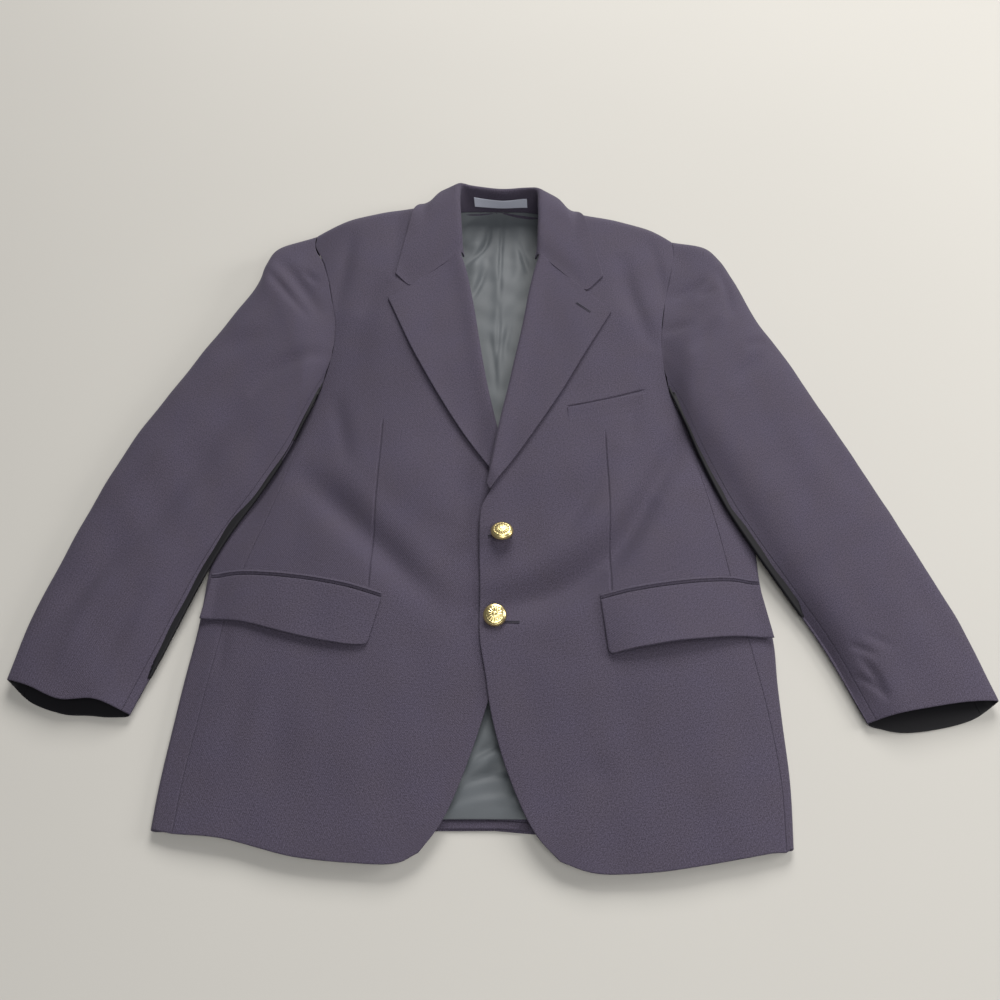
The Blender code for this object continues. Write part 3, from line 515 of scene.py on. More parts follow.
def onFront(side, x, y):
    # a place of the front's pattern on the laid garment: past the ridge it turns downwards
    place, radius = ridgeAt(side, x)
    turn = np.maximum(y - place, 0) / radius
    return np.stack([x + 0 * y, np.where(y <= place, y, place + radius * np.sin(turn)),
                     np.where(y <= place, upperHeight(side, x, y), radius * (1 + np.cos(turn)))], -1)


def onBack(side, x, y, inside=0.0):
    # a place of the back's pattern, which lies on the floor and turns up at the ridge
    place, radius = ridgeAt(side, x)
    turn = np.maximum(y - place, 0) / radius
    reach = radius - inside
    return np.stack([x + 0 * y, np.where(y <= place, y, place + reach * np.sin(turn)),
                     np.where(y <= place, inside, radius - reach * np.cos(turn))], -1)


def shoulderFront(side, x):
    place, radius = ridgeAt(side, x)
    return place + radius * bodyPlan["shoulderTurn"]


def shoulderBack(side, x):
    place, radius = ridgeAt(side, x)
    return place + radius * (math.pi - bodyPlan["shoulderTurn"])


def neckLine(side, x):
    place, radius = ridgeAt(side, x)
    share = (np.abs(x) / bodyPlan["neckX"]) ** 2
    turn = bodyPlan["neckTurn"]
    return place + radius * (turn + (math.pi - bodyPlan["shoulderTurn"] - turn) * share)


# Making shells of cloth

# the first rows beside an edge, in widths of its roll
edgeRows = np.array([0.0, 0.06, 0.22, 0.5, 1.0, 2.0])


def gridShares(length, step, rolls):
    # shares of a length, crowded over the rolled edges at its two ends
    low, high = edgeRows * rolls[0], length - edgeRows[::-1] * rolls[1]
    count = max(2, round((high[0] - low[-1]) / step))
    middle = np.linspace(low[-1], high[0], count + 1)[1:-1]
    return np.concatenate([low, middle, high]) / length


def alongLengths(points, axis):
    steps = np.linalg.norm(np.diff(points, axis=axis), axis=-1)
    start = np.zeros_like(np.take(steps, [0], axis=axis))
    return np.concatenate([start, np.cumsum(steps, axis=axis)], axis=axis)


def clothShell(name, surface, spec, outward, finish, lining=None, soften=0, outset=0.0, relief=None):
    # A closed wall of cloth behind a surface of (u, v), in millimetres, with rounded edges.
    # spec gives size (across, along), step, wall and rolls: the widths of the rolled edges
    # at u = 0, u = 1, v = 0 and v = 1.
    rolls = spec["rolls"]
    across = gridShares(spec["size"][0], spec["step"], rolls[0:2])
    along = gridShares(spec["size"][1], spec["step"], rolls[2:4])
    u, v = np.meshgrid(across, along)
    points = surface(u, v)
    for _ in range(soften):
        points[:, 1:-1] = points[:, 1:-1] / 2 + (points[:, :-2] + points[:, 2:]) / 4
        points[1:-1] = points[1:-1] / 2 + (points[:-2] + points[2:]) / 4
    lengthU, lengthV = alongLengths(points, 1), alongLengths(points, 0)

    def normals():
        return unit(np.cross(np.gradient(points, axis=1), np.gradient(points, axis=0))) * outward

    facing = normals()
    if relief is not None:
        points = points + facing * relief(points, facing)[..., None]
        facing = normals()
    near = np.zeros(u.shape)
    for distance, roll in ((lengthU, rolls[0]), (lengthU[:, -1:] - lengthU, rolls[1]),
                           (lengthV, rolls[2]), (lengthV[-1:] - lengthV, rolls[3])):
        near = np.maximum(near, np.clip(1 - distance / roll, 0, 1))
    half = spec["wall"] / 2
    sunk = half * (1 - np.sqrt(np.maximum(1 - near ** 2, 0)))
    outer = points + facing * (outset - sunk)[..., None]
    inner = points + facing * (outset - spec["wall"] + sunk)[..., None]

    rows, columns = u.shape
    outerIndex = np.arange(rows * columns).reshape(rows, columns)
    edge = np.ones((rows, columns), bool)
    edge[1:-1, 1:-1] = False
    innerIndex = outerIndex.copy()
    innerIndex[~edge] = rows * columns + np.arange((~edge).sum())
    places = np.vstack([outer.reshape(-1, 3), inner[~edge]])

    def quads(index, turned):
        corners = [index[:-1, :-1], index[:-1, 1:], index[1:, 1:], index[1:, :-1]]
        return np.stack(corners[::-1] if turned else corners, -1).reshape(-1, 4)

    faces = np.vstack([quads(outerIndex, outward < 0), quads(innerIndex, outward > 0)])
    centre = lengthU - lengthU[:, -1:] / 2
    cloth = np.stack([centre, lengthV.mean(1, keepdims=True) + 0 * centre], -1)
    grain = np.vstack([cloth.reshape(-1, 2), cloth[~edge]])
    mesh = meshFrom(name, places, faces, grain)
    mesh.materials.append(finish)
    # the inner faces may take a second finish; the sleeves' one is near black, painted shade
    if lining is not None:
        mesh.materials.append(lining)
        inside = np.arange(len(faces)) >= len(faces) // 2
        mesh.polygons.foreach_set("material_index", inside.astype(np.int32))
    made = linked(name, mesh)
    print(f"{name}: {2 * len(faces)} triangles, {meshArea(mesh) / 2:.4f} m2 of cloth")
    return made


def meshFrom(name, places, faces, grain):
    mesh = bpy.data.meshes.new(name)
    mesh.vertices.add(len(places))
    mesh.vertices.foreach_set("co", (places * millimetre).astype(np.float32).ravel())
    mesh.loops.add(faces.size)
    mesh.loops.foreach_set("vertex_index", faces.astype(np.int32).ravel())
    mesh.polygons.add(len(faces))
    mesh.polygons.foreach_set("loop_start", np.arange(0, faces.size, 4, dtype=np.int32))
    mesh.uv_layers.new(name="grain")
    mesh.uv_layers["grain"].data.foreach_set(
        "uv", (grain[faces.ravel()] * millimetre).astype(np.float32).ravel())
    mesh.update(calc_edges=True)
    mesh.validate()
    mesh.shade_smooth()
    return mesh


def closedForm(mesh, merged=0.0):
    # fills the open ends and turns every face outwards
    form = bmesh.new()
    form.from_mesh(mesh)
    if merged:
        bmesh.ops.remove_doubles(form, verts=form.verts, dist=merged)
    bmesh.ops.holes_fill(form, edges=[edge for edge in form.edges if edge.is_boundary], sides=0)
    bmesh.ops.recalc_face_normals(form, faces=form.faces)
    form.to_mesh(mesh)
    form.free()
    mesh.shade_smooth()
    return mesh


def meshArea(mesh):
    return sum(face.area for face in mesh.polygons)


def dressed(piece, node):
    # the piece rides on the garment's one body and stands for its node
    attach(piece, "root")
    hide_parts(node)


# Fronts

def stackedPatches(first, second, third, lengths):
    # three surfaces one above the other, each with rows for its own length
    ends = np.cumsum(lengths) / sum(lengths)

    def at(u, v):
        low = first(u, np.clip(v / ends[0], 0, 1))
        middle = second(u, np.clip((v - ends[0]) / (ends[1] - ends[0]), 0, 1))
        high = third(u, np.clip((v - ends[1]) / (1 - ends[1]), 0, 1))
        return np.where((v <= ends[0])[..., None], low, np.where((v <= ends[1])[..., None], middle, high))

    return at


seamRows = (-340, -280, -220, -160, -100, -50, 0)
acrossSteps = 6


def frontSeam(side):
    return smoothLine([(float(readColumn(sidePlans[side], "seam", y)), y) for y in (
        hemLines[side][0][1], *seamRows, bodyPlan["armholeY"])])


def lineAcross(start, end, height):
    places = [start + (end - start) * k / acrossSteps for k in range(acrossSteps + 1)]
    return smoothLine([(x, float(height(x))) for x in places])


def underLapel(t):
    return bodyPlan["underLapel"] * ease(t / bodyPlan["lapelShare"])


frontSpec = {"size": (300.0, 790.0), "step": 3.1, "wall": walls["cloth"], "rolls": (1.0, 1.1, 1.1, 1.0),
             "flat": (0.31, 0.80), "cut": 0.170, "stages": (462, 285, 42),
             "edgeShares": (0.06, 0.12, 0.18, 0.25), "neckShares": (0.25, 0.5, 0.75, 1.0),
             "neckX": 61, "neckY": 335}


def frontPanel(side):
    shoulderX, neckX = armholes[side][-1][0], side * bodyPlan["neckX"]
    roll = smoothLine(rollLines[side])
    levelY = bodyPlan["armholeY"]

    def besideRoll(t):
        return tuple(roll(t) + np.array([side * float(underLapel(t)), 0, 0]))

    def ridgePlace(x):
        return ridgeAt(side, x)[0]

    edge = smoothLine(frontEdges[side] + tuple(besideRoll(t) for t in frontSpec["edgeShares"]))
    neck = smoothLine([besideRoll(t) for t in frontSpec["neckShares"]]
                      + [(side * frontSpec["neckX"], frontSpec["neckY"]),
                         (neckX, float(ridgePlace(neckX)))])
    armhole = smoothLine(armholes[side] + ((shoulderX, float(ridgePlace(shoulderX))),))
    first, last = armhole(0.0), neck(0.0)
    level = lineAcross(first[0], last[0], lambda x: levelY + (last[1] - levelY)
                       * (x - first[0]) / (last[0] - first[0]))
    crease = lineAcross(shoulderX, neckX, ridgePlace)
    seam = lineAcross(shoulderX, neckX, lambda x: shoulderFront(side, x) - gaps["shoulder"])
    plan = stackedPatches(
        patchBetween(frontSeam(side), edge, smoothLine(hemLines[side]), level),
        patchBetween(armhole, neck, level, crease),
        patchBetween(smoothLine([armhole(1.0), seam(0.0)]), smoothLine([neck(1.0), seam(1.0)]), crease, seam),
        frontSpec["stages"])

    def surface(u, v):
        share = gaps["seam"] / frontSpec["size"][0]
        place = plan(share + u * (1 - share), v)
        return onFront(side, place[..., 0], place[..., 1])

    return surface


# darts and the welt's mouth are pressed into the cloth as fine lines: the faces within each
# of the reaches are halved in turn
pressSpec = {"steps": 40, "reaches": (4.2, 2.8, 1.8), "fade": 0.06, "facingUp": 0.2}


def pressLine(piece, path, width, depth):
    form = bmesh.new()
    form.from_mesh(piece.data)
    curve = smoothLine(path)(np.linspace(0, 1, pressSpec["steps"]))[:, :2] * millimetre
    farthest = pressSpec["reaches"][0] * millimetre
    box = (curve.min(0) - farthest, curve.max(0) + farthest)
    upwards, fadeShare = pressSpec["facingUp"], pressSpec["fade"]

    def off(place):
        away = curve - np.array([place.x, place.y])
        steps = curve[1:] - curve[:-1]
        part = np.clip(-(away[:-1] * steps).sum(1) / (steps ** 2).sum(1), 0, 1)
        near = np.hypot(*(away[:-1] + steps * part[:, None]).T)
        i = int(near.argmin())
        return near[i], (i + part[i]) / (len(curve) - 1)

    def inBox(place):
        return box[0][0] < place.x < box[1][0] and box[0][1] < place.y < box[1][1]

    for reach in pressSpec["reaches"]:
        near = set()
        for face in form.faces:
            middle = face.calc_center_median()
            if face.normal.z > upwards and inBox(middle) and off(middle)[0] < reach * millimetre:
                near.update(face.edges)
        bmesh.ops.subdivide_edges(form, edges=list(near), cuts=1, use_grid_fill=True)
    for vertex in form.verts:
        if vertex.normal.z > upwards and inBox(vertex.co):
            away, share = off(vertex.co)
            fade = min(share, 1 - share, fadeShare) / fadeShare
            groove = math.exp(-(away / width / millimetre) ** 2)
            vertex.co -= vertex.normal * depth * millimetre * fade * groove
    form.to_mesh(piece.data)
    form.free()
    piece.data.shade_smooth()


dartLines = {
    -1: ((-128, 56), (-130, -51), (-131, -155)),
    1: ((114, 40), (114, -51), (110, -162)),
}
dartSpec = {"width": 0.9, "depth": 1.5}
# the breast pocket's mouth, just above its welt
mouthLine = ((72, 67), (115, 79.5), (163, 99))
mouthSpec = {"width": 1.0, "depth": 1.9}

fronts = {}
for side in (-1, 1):
    fronts[side] = clothShell(f"front_panel_{sideNames[side]}", frontPanel(side), frontSpec, -side, worsted)
    pressLine(fronts[side], dartLines[side], dartSpec["width"], dartSpec["depth"])
    if side > 0:
        pressLine(fronts[side], mouthLine, mouthSpec["width"], mouthSpec["depth"])
    dressed(fronts[side], f"front_{sideNames[side]}")
print("fronts laid, darts pressed")


# Side bodies and back

def backSeam(side):
    x = float(readColumn(sidePlans[side], "fold", bodyPlan["armholeY"])) - side * bodyPlan["sideUnder"]
    return smoothLine([bodyPlan["backCorner"][side], (x, bodyPlan["armholeY"])])


sideSpec = {"size": (115.0, 460.0), "step": 3.0, "wall": walls["cloth"], "rolls": (0.9, 0.9, 1.1, 1.0),
            "flat": (0.13, 0.465), "cut": 0.047, "flatShare": 0.36, "bendShare": 0.2}


def sideBody(side):
    # from the back seam on the underside round the fold to the front seam
    under, over = backSeam(side), frontSeam(side)
    flatShare, bendShare = sideSpec["flatShare"], sideSpec["bendShare"]

    def surface(u, v):
        lower, upper = under(v), over(v)
        y = lower[..., 1]
        radius = readColumn(loft, "fold", y)
        fold = readColumn(sidePlans[side], "fold", y)
        start = lower[..., 0] + side * gaps["seam"]
        flat = np.clip(u / flatShare, 0, 1)
        turn = bodyPlan["bendTurn"] * np.clip((u - flatShare) / bendShare, 0, 1)
        climb = np.clip((u - flatShare - bendShare) / (1 - flatShare - bendShare), 0, 1)
        leave = fold - side * radius * (1 - math.sin(bodyPlan["bendTurn"]))
        x = leave + (upper[..., 0] + side * gaps["seam"] / 2 - leave) * climb
        risen = y + (upper[..., 1] - y) * climb
        onFloor = np.stack([start + (fold - side * radius - start) * flat, y, 0 * y], -1)
        bent = np.stack([fold - side * radius * (1 - np.sin(turn)), y, radius * (1 - np.cos(turn))], -1)
        above = np.stack([x, risen, upperHeight(side, x, risen)], -1)
        return np.where((u <= flatShare)[..., None], onFloor,
                        np.where((u < flatShare + bendShare)[..., None], bent, above))

    return surface


backSpec = {"size": (230.0, 800.0), "step": 4.5, "wall": walls["cloth"], "rolls": (0.9, 0.9, 1.1, 1.0),
            "flat": (0.25, 0.80), "cut": 0.163, "stages": (440, 300, 45), "neckShare": 0.75}


def backPanel(side):
    shoulderX, neckX, centreX = armholes[side][-1][0], side * bodyPlan["neckX"], bodyPlan["backSeamX"]
    levelY = bodyPlan["armholeY"]

    def ridgePlace(x):
        return ridgeAt(side, x)[0]

    share = backSpec["neckShare"]
    under = backSeam(side)
    shoulder = (shoulderX, float(ridgePlace(shoulderX)))
    armhole = smoothLine((tuple(under(1.0)[:2]),) + armholes[side][2:] + (shoulder,))
    centre = [(centreX, float(y)) for y in
              (bodyPlan["backHemY"], levelY, ridgePlace(0.0), neckLine(side, 0.0))]
    hem = smoothLine([under(0.0), centre[0]])
    level = smoothLine([under(1.0), centre[1]])
    crease = joinedLines(lineAcross(shoulderX, neckX, ridgePlace),
                         lineAcross(neckX, centreX, ridgePlace), share)
    end = joinedLines(lineAcross(shoulderX, neckX, lambda x: shoulderBack(side, x) - gaps["shoulder"]),
                      lineAcross(neckX, centreX, lambda x: neckLine(side, x)), share)
    plan = stackedPatches(
        patchBetween(under, smoothLine(centre[0:2]), hem, level),
        patchBetween(armhole, smoothLine(centre[1:3]), level, crease),
        patchBetween(smoothLine([armhole(1.0), end(0.0)]), smoothLine(centre[2:4]), crease, end),
        backSpec["stages"])

    def surface(u, v):
        place = plan(u, v)
        fromArm = np.where(place[..., 1] > levelY + 1, gaps["hidden"] * (1 - u), 0.0)
        x = place[..., 0] - side * fromArm + side * gaps["seam"] / 2 * u
        return onBack(side, x, place[..., 1])

    return surface


for side in (-1, 1):
    piece = clothShell(f"side_body_{sideNames[side]}", sideBody(side), sideSpec, -side, worsted)
    dressed(piece, f"side_{sideNames[side]}")
    piece = clothShell(f"back_panel_{sideNames[side]}", backPanel(side), backSpec, side, worsted)
    dressed(piece, f"back_{sideNames[side]}")
print("side bodies and back laid")


# Lapels

lapelSpec = {"size": (100.0, 330.0), "step": 2.4, "wall": walls["lapel"], "rolls": (0.8, 1.2, 0.9, 0.4),
             "flat": (0.14, 0.33), "cut": 0.022, "bend": 3.4, "curl": 2.8, "tipCurl": 0.7, "rollReach": 14.0,
             "tuckDelay": 0.6, "start": {-1: 0.03, 1: 0.09}, "notch": {-1: (-106, 238), 1: (101, 230)},
             "gorgeShare": 0.68, "overCollar": 1.2, "raised": 0.3, "sewnFrom": 0.975, "notchFade": 0.06,
             "overShare": 0.1, "clearance": 0.6, "tuckShare": 0.55, "leastTuck": 1.0, "curlFrom": 0.6,
             "curlPower": 3, "creaseSteps": 10, "outwardShare": 0.2, "headingShare": 0.01,
             "columns": 11, "rollColumns": 4, "spread": (0.0, 0.08, 0.2, 1.0)}


def lapelLines(side):
    roll = smoothLine(rollLines[side])
    start, steps = lapelSpec["start"][side], lapelSpec["creaseSteps"]
    crease = smoothLine([tuple(roll(start + (1 - start) * k / steps)) for k in range(steps + 1)])
    return crease, smoothLine(lapelEdges[side])


def lapelTurn(side):
    # from the tuck under the roll, round the roll and out to the lapel's edge
    crease, edge = lapelLines(side)
    start = lapelSpec["start"][side]
    notch = lapelSpec["notch"][side]
    end = joinedLines(smoothLine([crease(1.0), notch]), smoothLine([notch, edge(1.0)]),
                      lapelSpec["gorgeShare"])
    plan = patchBetween(crease, edge, smoothLine([crease(0.0), edge(0.0)]), end)
    columns, rollColumns = lapelSpec["columns"], lapelSpec["rollColumns"]
    outward, step = lapelSpec["outwardShare"], lapelSpec["headingShare"]

    def surface(u, v):
        zero = 0 * u
        width = np.linalg.norm(edge(v) - crease(v), axis=-1)
        room = underLapel((start + (1 - start) * v) * lapelSpec["tuckDelay"]) - lapelSpec["clearance"]
        tuck = np.maximum(np.minimum(room, width * lapelSpec["tuckShare"]), lapelSpec["leastTuck"])
        bend = np.minimum(lapelSpec["bend"], tuck * 0.5)
        rise = np.maximum(bend - walls["lapel"], gaps["layer"])
        outwards = unit(plan(zero + outward, v) - plan(zero, v))
        hinge = plan(zero, v) + outwards * bend[..., None]
        base = upperHeight(side, hinge[..., 0], hinge[..., 1]) + rise
        # the columns are spread so that the tuck takes 8 % and the roll 12 % of them
        count = np.interp(u, lapelSpec["spread"], (0.0, 1.0, rollColumns, columns))
        heading = unit(crease(v + step) - crease(v - step))
        aside = np.stack([heading[..., 1], -heading[..., 0], zero], -1) * side
        inner = mix(crease(v) + aside * tuck[..., None], hinge, np.clip(count, 0, 1))
        tucked = np.stack([inner[..., 0], inner[..., 1], base - bend], -1)
        turn = np.pi * np.clip((count - 1) / (rollColumns - 1), 0, 1)
        round_ = hinge - outwards * (bend * np.sin(turn))[..., None]
        rolled = np.stack([round_[..., 0], round_[..., 1], base - bend * np.cos(turn)], -1)
        part = np.clip((count - rollColumns) / (columns - rollColumns), 0, 1)
        first = bend / np.maximum(width, 1e-6)
        place = plan(first + (1 - first) * part, v)
        reach = part * (width - bend)
        settle = np.exp(-(reach / lapelSpec["rollReach"]) ** 2)
        rest = walls["lapel"] + gaps["layer"]
        upwards = ease((v - lapelSpec["curlFrom"]) / (1 - lapelSpec["curlFrom"]))
        curl = lapelSpec["curl"] + (lapelSpec["tipCurl"] - lapelSpec["curl"]) * upwards
        lift = rest + (rise + bend - rest) * settle + curl * part ** lapelSpec["curlPower"]
        laid = np.stack([place[..., 0], place[..., 1],
                         upperHeight(side, place[..., 0], place[..., 1]) + lift], -1)
        made = np.where((count < 1)[..., None], tucked,
                        np.where((count <= rollColumns)[..., None], rolled, laid))
        # up to the notch the end runs on a little way over the collar's
        past = part - lapelSpec["gorgeShare"] + lapelSpec["overShare"]
        before = 1 - ease(past / lapelSpec["notchFade"])
        sewn = ease((v - lapelSpec["sewnFrom"]) / (1 - lapelSpec["sewnFrom"])) * before
        return made + np.stack([zero, lapelSpec["overCollar"] * sewn, lapelSpec["raised"] * sewn], -1)

    return surface


for side in (-1, 1):
    piece = clothShell(f"lapel_turn_{sideNames[side]}", lapelTurn(side), lapelSpec, side, worsted)
    dressed(piece, f"lapel_{sideNames[side]}")
print("lapels rolled back")


# Collar and the label on its stand

# a row for each section from the right end round the neck to the left end: stand is its foot,
# crest the top of the fold, and the fall goes by way of middle to the edge
collarRows = (
    ((-45, 298, 38), (-47, 293.5, 49.5), (-106, 239, 47.5), (-124, 259, 48)),
    ((-49, 318, 38), (-48, 318, 51), (-100, 276, 48.5), (-120, 284, 48)),
    ((-53, 346, 36), (-49.5, 346, 53), (-92, 330, 50.5), (-113, 324, 49.5)),
    ((-60, 373, 30), (-51, 380, 54), (-84, 370, 52), (-106, 364, 51)),
    ((-60, 387, 22), (-50, 405, 52.5), (-72, 402, 43), (-91, 395, 27)),
    ((-36, 395, 17), (-34, 405, 48.5), (-44, 413, 30), (-54, 418, 8)),
    ((0, 397, 15.2), (2, 401, 46.5), (1, 414, 26), (0, 422, 3)),
    ((34, 394, 17), (31, 402.5, 47.5), (42, 409, 30), (53, 413, 8)),
    ((58, 382, 22), (47.5, 396, 51.5), (70, 390, 43), (89, 382, 27)),
    ((58, 364, 30), (48.5, 371, 53), (82, 358, 51), (103, 352, 50)),
    ((52, 338, 36), (48.5, 342, 52), (90, 322, 50), (111, 313, 49)),
    ((48, 314, 38), (47.5, 315, 50.5), (97, 268, 48.5), (118, 279, 48)),
    ((44, 294, 38), (47, 290, 49.5), (101, 231, 47.5), (122, 255, 48)),
)
collarLines = [smoothLine([row[i] for row in collarRows]) for i in range(4)]
collarSpec = {"size": (118.0, 430.0), "step": 2.2, "wall": walls["collar"], "rolls": (0.9, 1.4, 0.4, 0.4),
              "flat": (0.095, 0.44), "cut": 0.034, "bend": 3.3, "standShare": 0.25, "bendShare": 0.1,
              "middleShare": 0.45, "leastHalf": 0.2, "endShare": 0.012, "endReach": 1.5,
              "endFade": 0.06, "endDrops": (3.0, 3.2, 3.4, 1.6)}


def nearEnds(v, fade):
    return np.exp(-(v / fade) ** 2) + np.exp(-((1 - v) / fade) ** 2)


def collarSurface(u, v):
    # u runs from the foot of the stand over the fold to the fall's edge, v round the neck.
    # The ends reach down to the lapels, level with them as far as the notch.
    reach, sunk = nearEnds(v, collarSpec["endShare"]), nearEnds(v, collarSpec["endFade"])
    stand, crest, middle, edge = (
        curve(v) + np.stack([0 * v, -collarSpec["endReach"] * reach, -drop * sunk], -1)
        for curve, drop in zip(collarLines, collarSpec["endDrops"]))
    down, out = unit(stand - crest), unit(middle - crest)
    half = np.maximum(np.arccos(np.clip((down * out).sum(-1), -1, 1)) / 2, collarSpec["leastHalf"])
    tangent = (collarSpec["bend"] / np.tan(half))[..., None]
    apex = crest - (down + out) * tangent / 4
    down, out = unit(stand - apex), unit(middle - apex)
    near, far = apex + down * tangent, apex + out * tangent
    ends = np.cumsum([collarSpec["standShare"], collarSpec["bendShare"], collarSpec["middleShare"]])
    first = mix(stand, near, np.clip(u / ends[0], 0, 1))
    turn = np.clip((u - ends[0]) / (ends[1] - ends[0]), 0, 1)
    bend = mix(mix(near, apex, turn), mix(apex, far, turn), turn)
    fall = mix(far, middle, np.clip((u - ends[1]) / (ends[2] - ends[1]), 0, 1))
    last = mix(middle, edge, np.clip((u - ends[2]) / (1 - ends[2]), 0, 1))
    chosen = [(u < end)[..., None] for end in ends]
    return np.where(chosen[0], first, np.where(chosen[1], bend, np.where(chosen[2], fall, last)))


collarPiece = clothShell("collar_fall_and_stand", collarSurface, collarSpec, -1, worsted, soften=6,
                         outset=walls["collar"])
dressed(collarPiece, "collar")

labelSpec = {"size": (69.0, 12.0), "step": 1.5, "wall": walls["label"], "rolls": (0.6, 0.6, 0.6, 0.6),
             "flat": (0.070, 0.0115), "from": -31.0, "to": 38.0, "low": 0.28, "high": 0.72,
             "span": 315.0, "clearance": 0.4}


def labelSurface(u, v):
    low, high = labelSpec["low"], labelSpec["high"]
    up = (low + (high - low) * v) * collarSpec["standShare"]
    round_ = 0.5 + (labelSpec["from"] + (labelSpec["to"] - labelSpec["from"]) * u) / labelSpec["span"]
    return collarSurface(up, round_)


labelPiece = clothShell("blank_neck_label", labelSurface, labelSpec, 1, labelDamask,
                        outset=walls["collar"] + labelSpec["clearance"] + walls["label"])
dressed(labelPiece, "neck_label")
print("collar turned down, label sewn on")


# Sleeves: a row for each section from the cuff to the armhole

sleeveInner = {
    -1: table(
        "x     y    height",
        (-351, -274, 8),
        (-330, -213, 9),
        (-306, -140, 11),
        (-283, -86, 16),
        (-255, -34, 19),
        (-231, 17, 21.5),
        (-214, 64, 25.5),
    ),
    1: table(
        "x     y    height",
        (347, -283, 8),
        (318, -208, 9),
        (287, -146, 11),
        (262, -100, 16),
        (238, -50, 19),
        (217, 10, 21.5),
        (203, 58, 25.5),
    ),
}
sleeveOuter = {
    -1: ((-475, -240), (-467, -180), (-450, -112), (-430, -40), (-404, 37), (-377, 93),
         (-348, 152), (-320, 206), (-299, 245), (-290, 268), (-285, 294), (-272, 322)),
    1: ((475, -262), (457, -185), (432, -112), (406, -40), (376, 38), (353, 93),
        (330, 150), (305, 200), (290, 243), (280, 272), (269, 300), (252, 323)),
}
cuffLines = {
    -1: ((-351, -274), (-385, -262), (-418, -262), (-449, -249), (-475, -240)),
    1: ((347, -283), (367, -278), (404, -271), (441, -265), (475, -262)),
}
# how far the under sleeve's edge shows past the top sleeve's, from the inner fold outwards
cuffDrop = table(
    "place  right  left",
    (0.0, 0, 0),
    (0.25, 11, 14),
    (0.55, 9, 17),
    (0.8, 11, 13),
    (1.0, 0, 0),
)
sleeveLoft = table(
    "place  loft  outer",
    (0.0, 19, 9),
    (0.2, 24, 10),
    (0.45, 29, 12),
    (0.7, 36, 15),
    (0.88, 43, 19),
    (1.0, 48, 22),
)
sleeveCreases = {
    -1: table(
        "x1    y1    x2    y2   width depth bow",
        (-274, 300, -208, 196, 9, -5.1, 4),
        (-284, 280, -218, 190, 6, -3.8, 0),
        (-238, 274, -214, 251, 4.5, -2.4, 0),
        (-190, 150, -280, 84, 9, -5.1, -13),
        (-268, 114, -452, -200, 17, -4.9, 10),
        (-380, -70, -462, -208, 12, -3.5, 4),
        (-300, 96, -402, -60, 12, 2.4, -6),
        (-330, 150, -262, 176, 14, -1.6, 3),
        (-300, -20, -352, -170, 12, -1.6, 5),
        (-350, -140, -392, -250, 11, -2.4, 0),
        (-392, -120, -424, -240, 10, 1.6, -3),
        (-200, 120, -385, -340, 13, -2.4, -9),
    ),
    1: table(
        "x1   y1   x2    y2   width depth bow",
        (202, 229, 246, 261, 5.5, -4.1, -2),
        (231, 228, 258, 245, 5, -3.2, 0),
        (262, 280, 266, 192, 7, -3.8, 6),
        (186, 177, 226, 190, 5.5, -3.5, 0),
        (216, 142, 254, 194, 7, -3.2, 0),
        (255, 95, 300, 150, 8, -2.4, 0),
        (278, 153, 308, 172, 6, -2.2, 0),
        (292, -150, 344, -276, 17, -5.4, -6),
        (344, -214, 368, -266, 4, -3.2, 3),
        (338, -206, 366, -222, 3.5, -2.7, 1),
        (340, -236, 368, -262, 3.5, -2.6, 2),
        (352, -196, 384, -212, 4, -1.8, 1),
        (262, 110, 330, -60, 20, -2.4, 8),
        (330, 100, 400, -60, 22, -1.9, -8),
        (404, -110, 442, -240, 16, -1.2, 4),
        (190, 112, 385, -350, 13, -2.4, -6.5),
    ),
}


def sleeveLines(side):
    start = armholes[side][2]
    rows = list(zip(*sleeveInner[side].values()))
    shoulderX = armholes[side][-1][0]
    frontY, backY = float(shoulderFront(side, shoulderX)), float(shoulderBack(side, shoulderX))
    crown = onFront(side, np.array(float(shoulderX)), np.array(frontY))
    return {
        "inner": smoothLine(rows + [(*start, float(upperHeight(side, *start)))]),
        "outer": smoothLine(sleeveOuter[side] + ((crown[0], crown[1]),)),
        "cuff": smoothLine(cuffLines[side]),
        "seamFront": smoothLine(armholes[side][2:] + ((shoulderX, frontY),)),
        "seamBack": smoothLine(armholes[side][2:] + ((shoulderX, backY),)),
    }


def bodyEdge(side, y):
    rows = {"y": [place[1] for place in armholes[side]], "x": [place[0] for place in armholes[side]]}
    return np.where(y <= bodyPlan["armholeY"], readColumn(sidePlans[side], "fold", y),
                    readColumn(rows, "x", y))


sleevePlan = {
    "bodyReaches": (0, 12, 24, 34), "bodyTurns": 10, "bodyEdge": 1, "belowArmhole": 12, "overBody": 2.0,
    "headShare": 0.16, "innerShare": 0.33, "outerPower": 0.8, "foldHeight": 8.0, "foldWidth": 60,
    "armpitDrop": 6.0, "armpitWidth": 8, "armpitFrom": 0.94, "armpitShare": 0.05, "cuffShare": 0.12,
    "length": 500, "quietShare": 0.03, "waveSeed": 23, "waveHeight": 0.32,
}


def bodyUnder(side, x, y):
    # the highest cloth of the body near a place: the sleeve passes over it
    highest = np.zeros(np.shape(x))
    turns, top = sleevePlan["bodyTurns"], armholes[side][2][1] - sleevePlan["belowArmhole"]
    for reach in sleevePlan["bodyReaches"]:
        for turn in np.arange(turns) * math.tau / turns if reach else (0.0,):
            nearX, nearY = x + reach * math.cos(turn), y + reach * math.sin(turn)
            inside = (bodyEdge(side, nearY) - nearX) * side
            over = upperHeight(side, nearX, nearY) + sleevePlan["overBody"]
            under = (inside > -sleevePlan["bodyEdge"]) & (nearY < top)
            highest = np.where(under, np.maximum(highest, over), highest)
    return highest


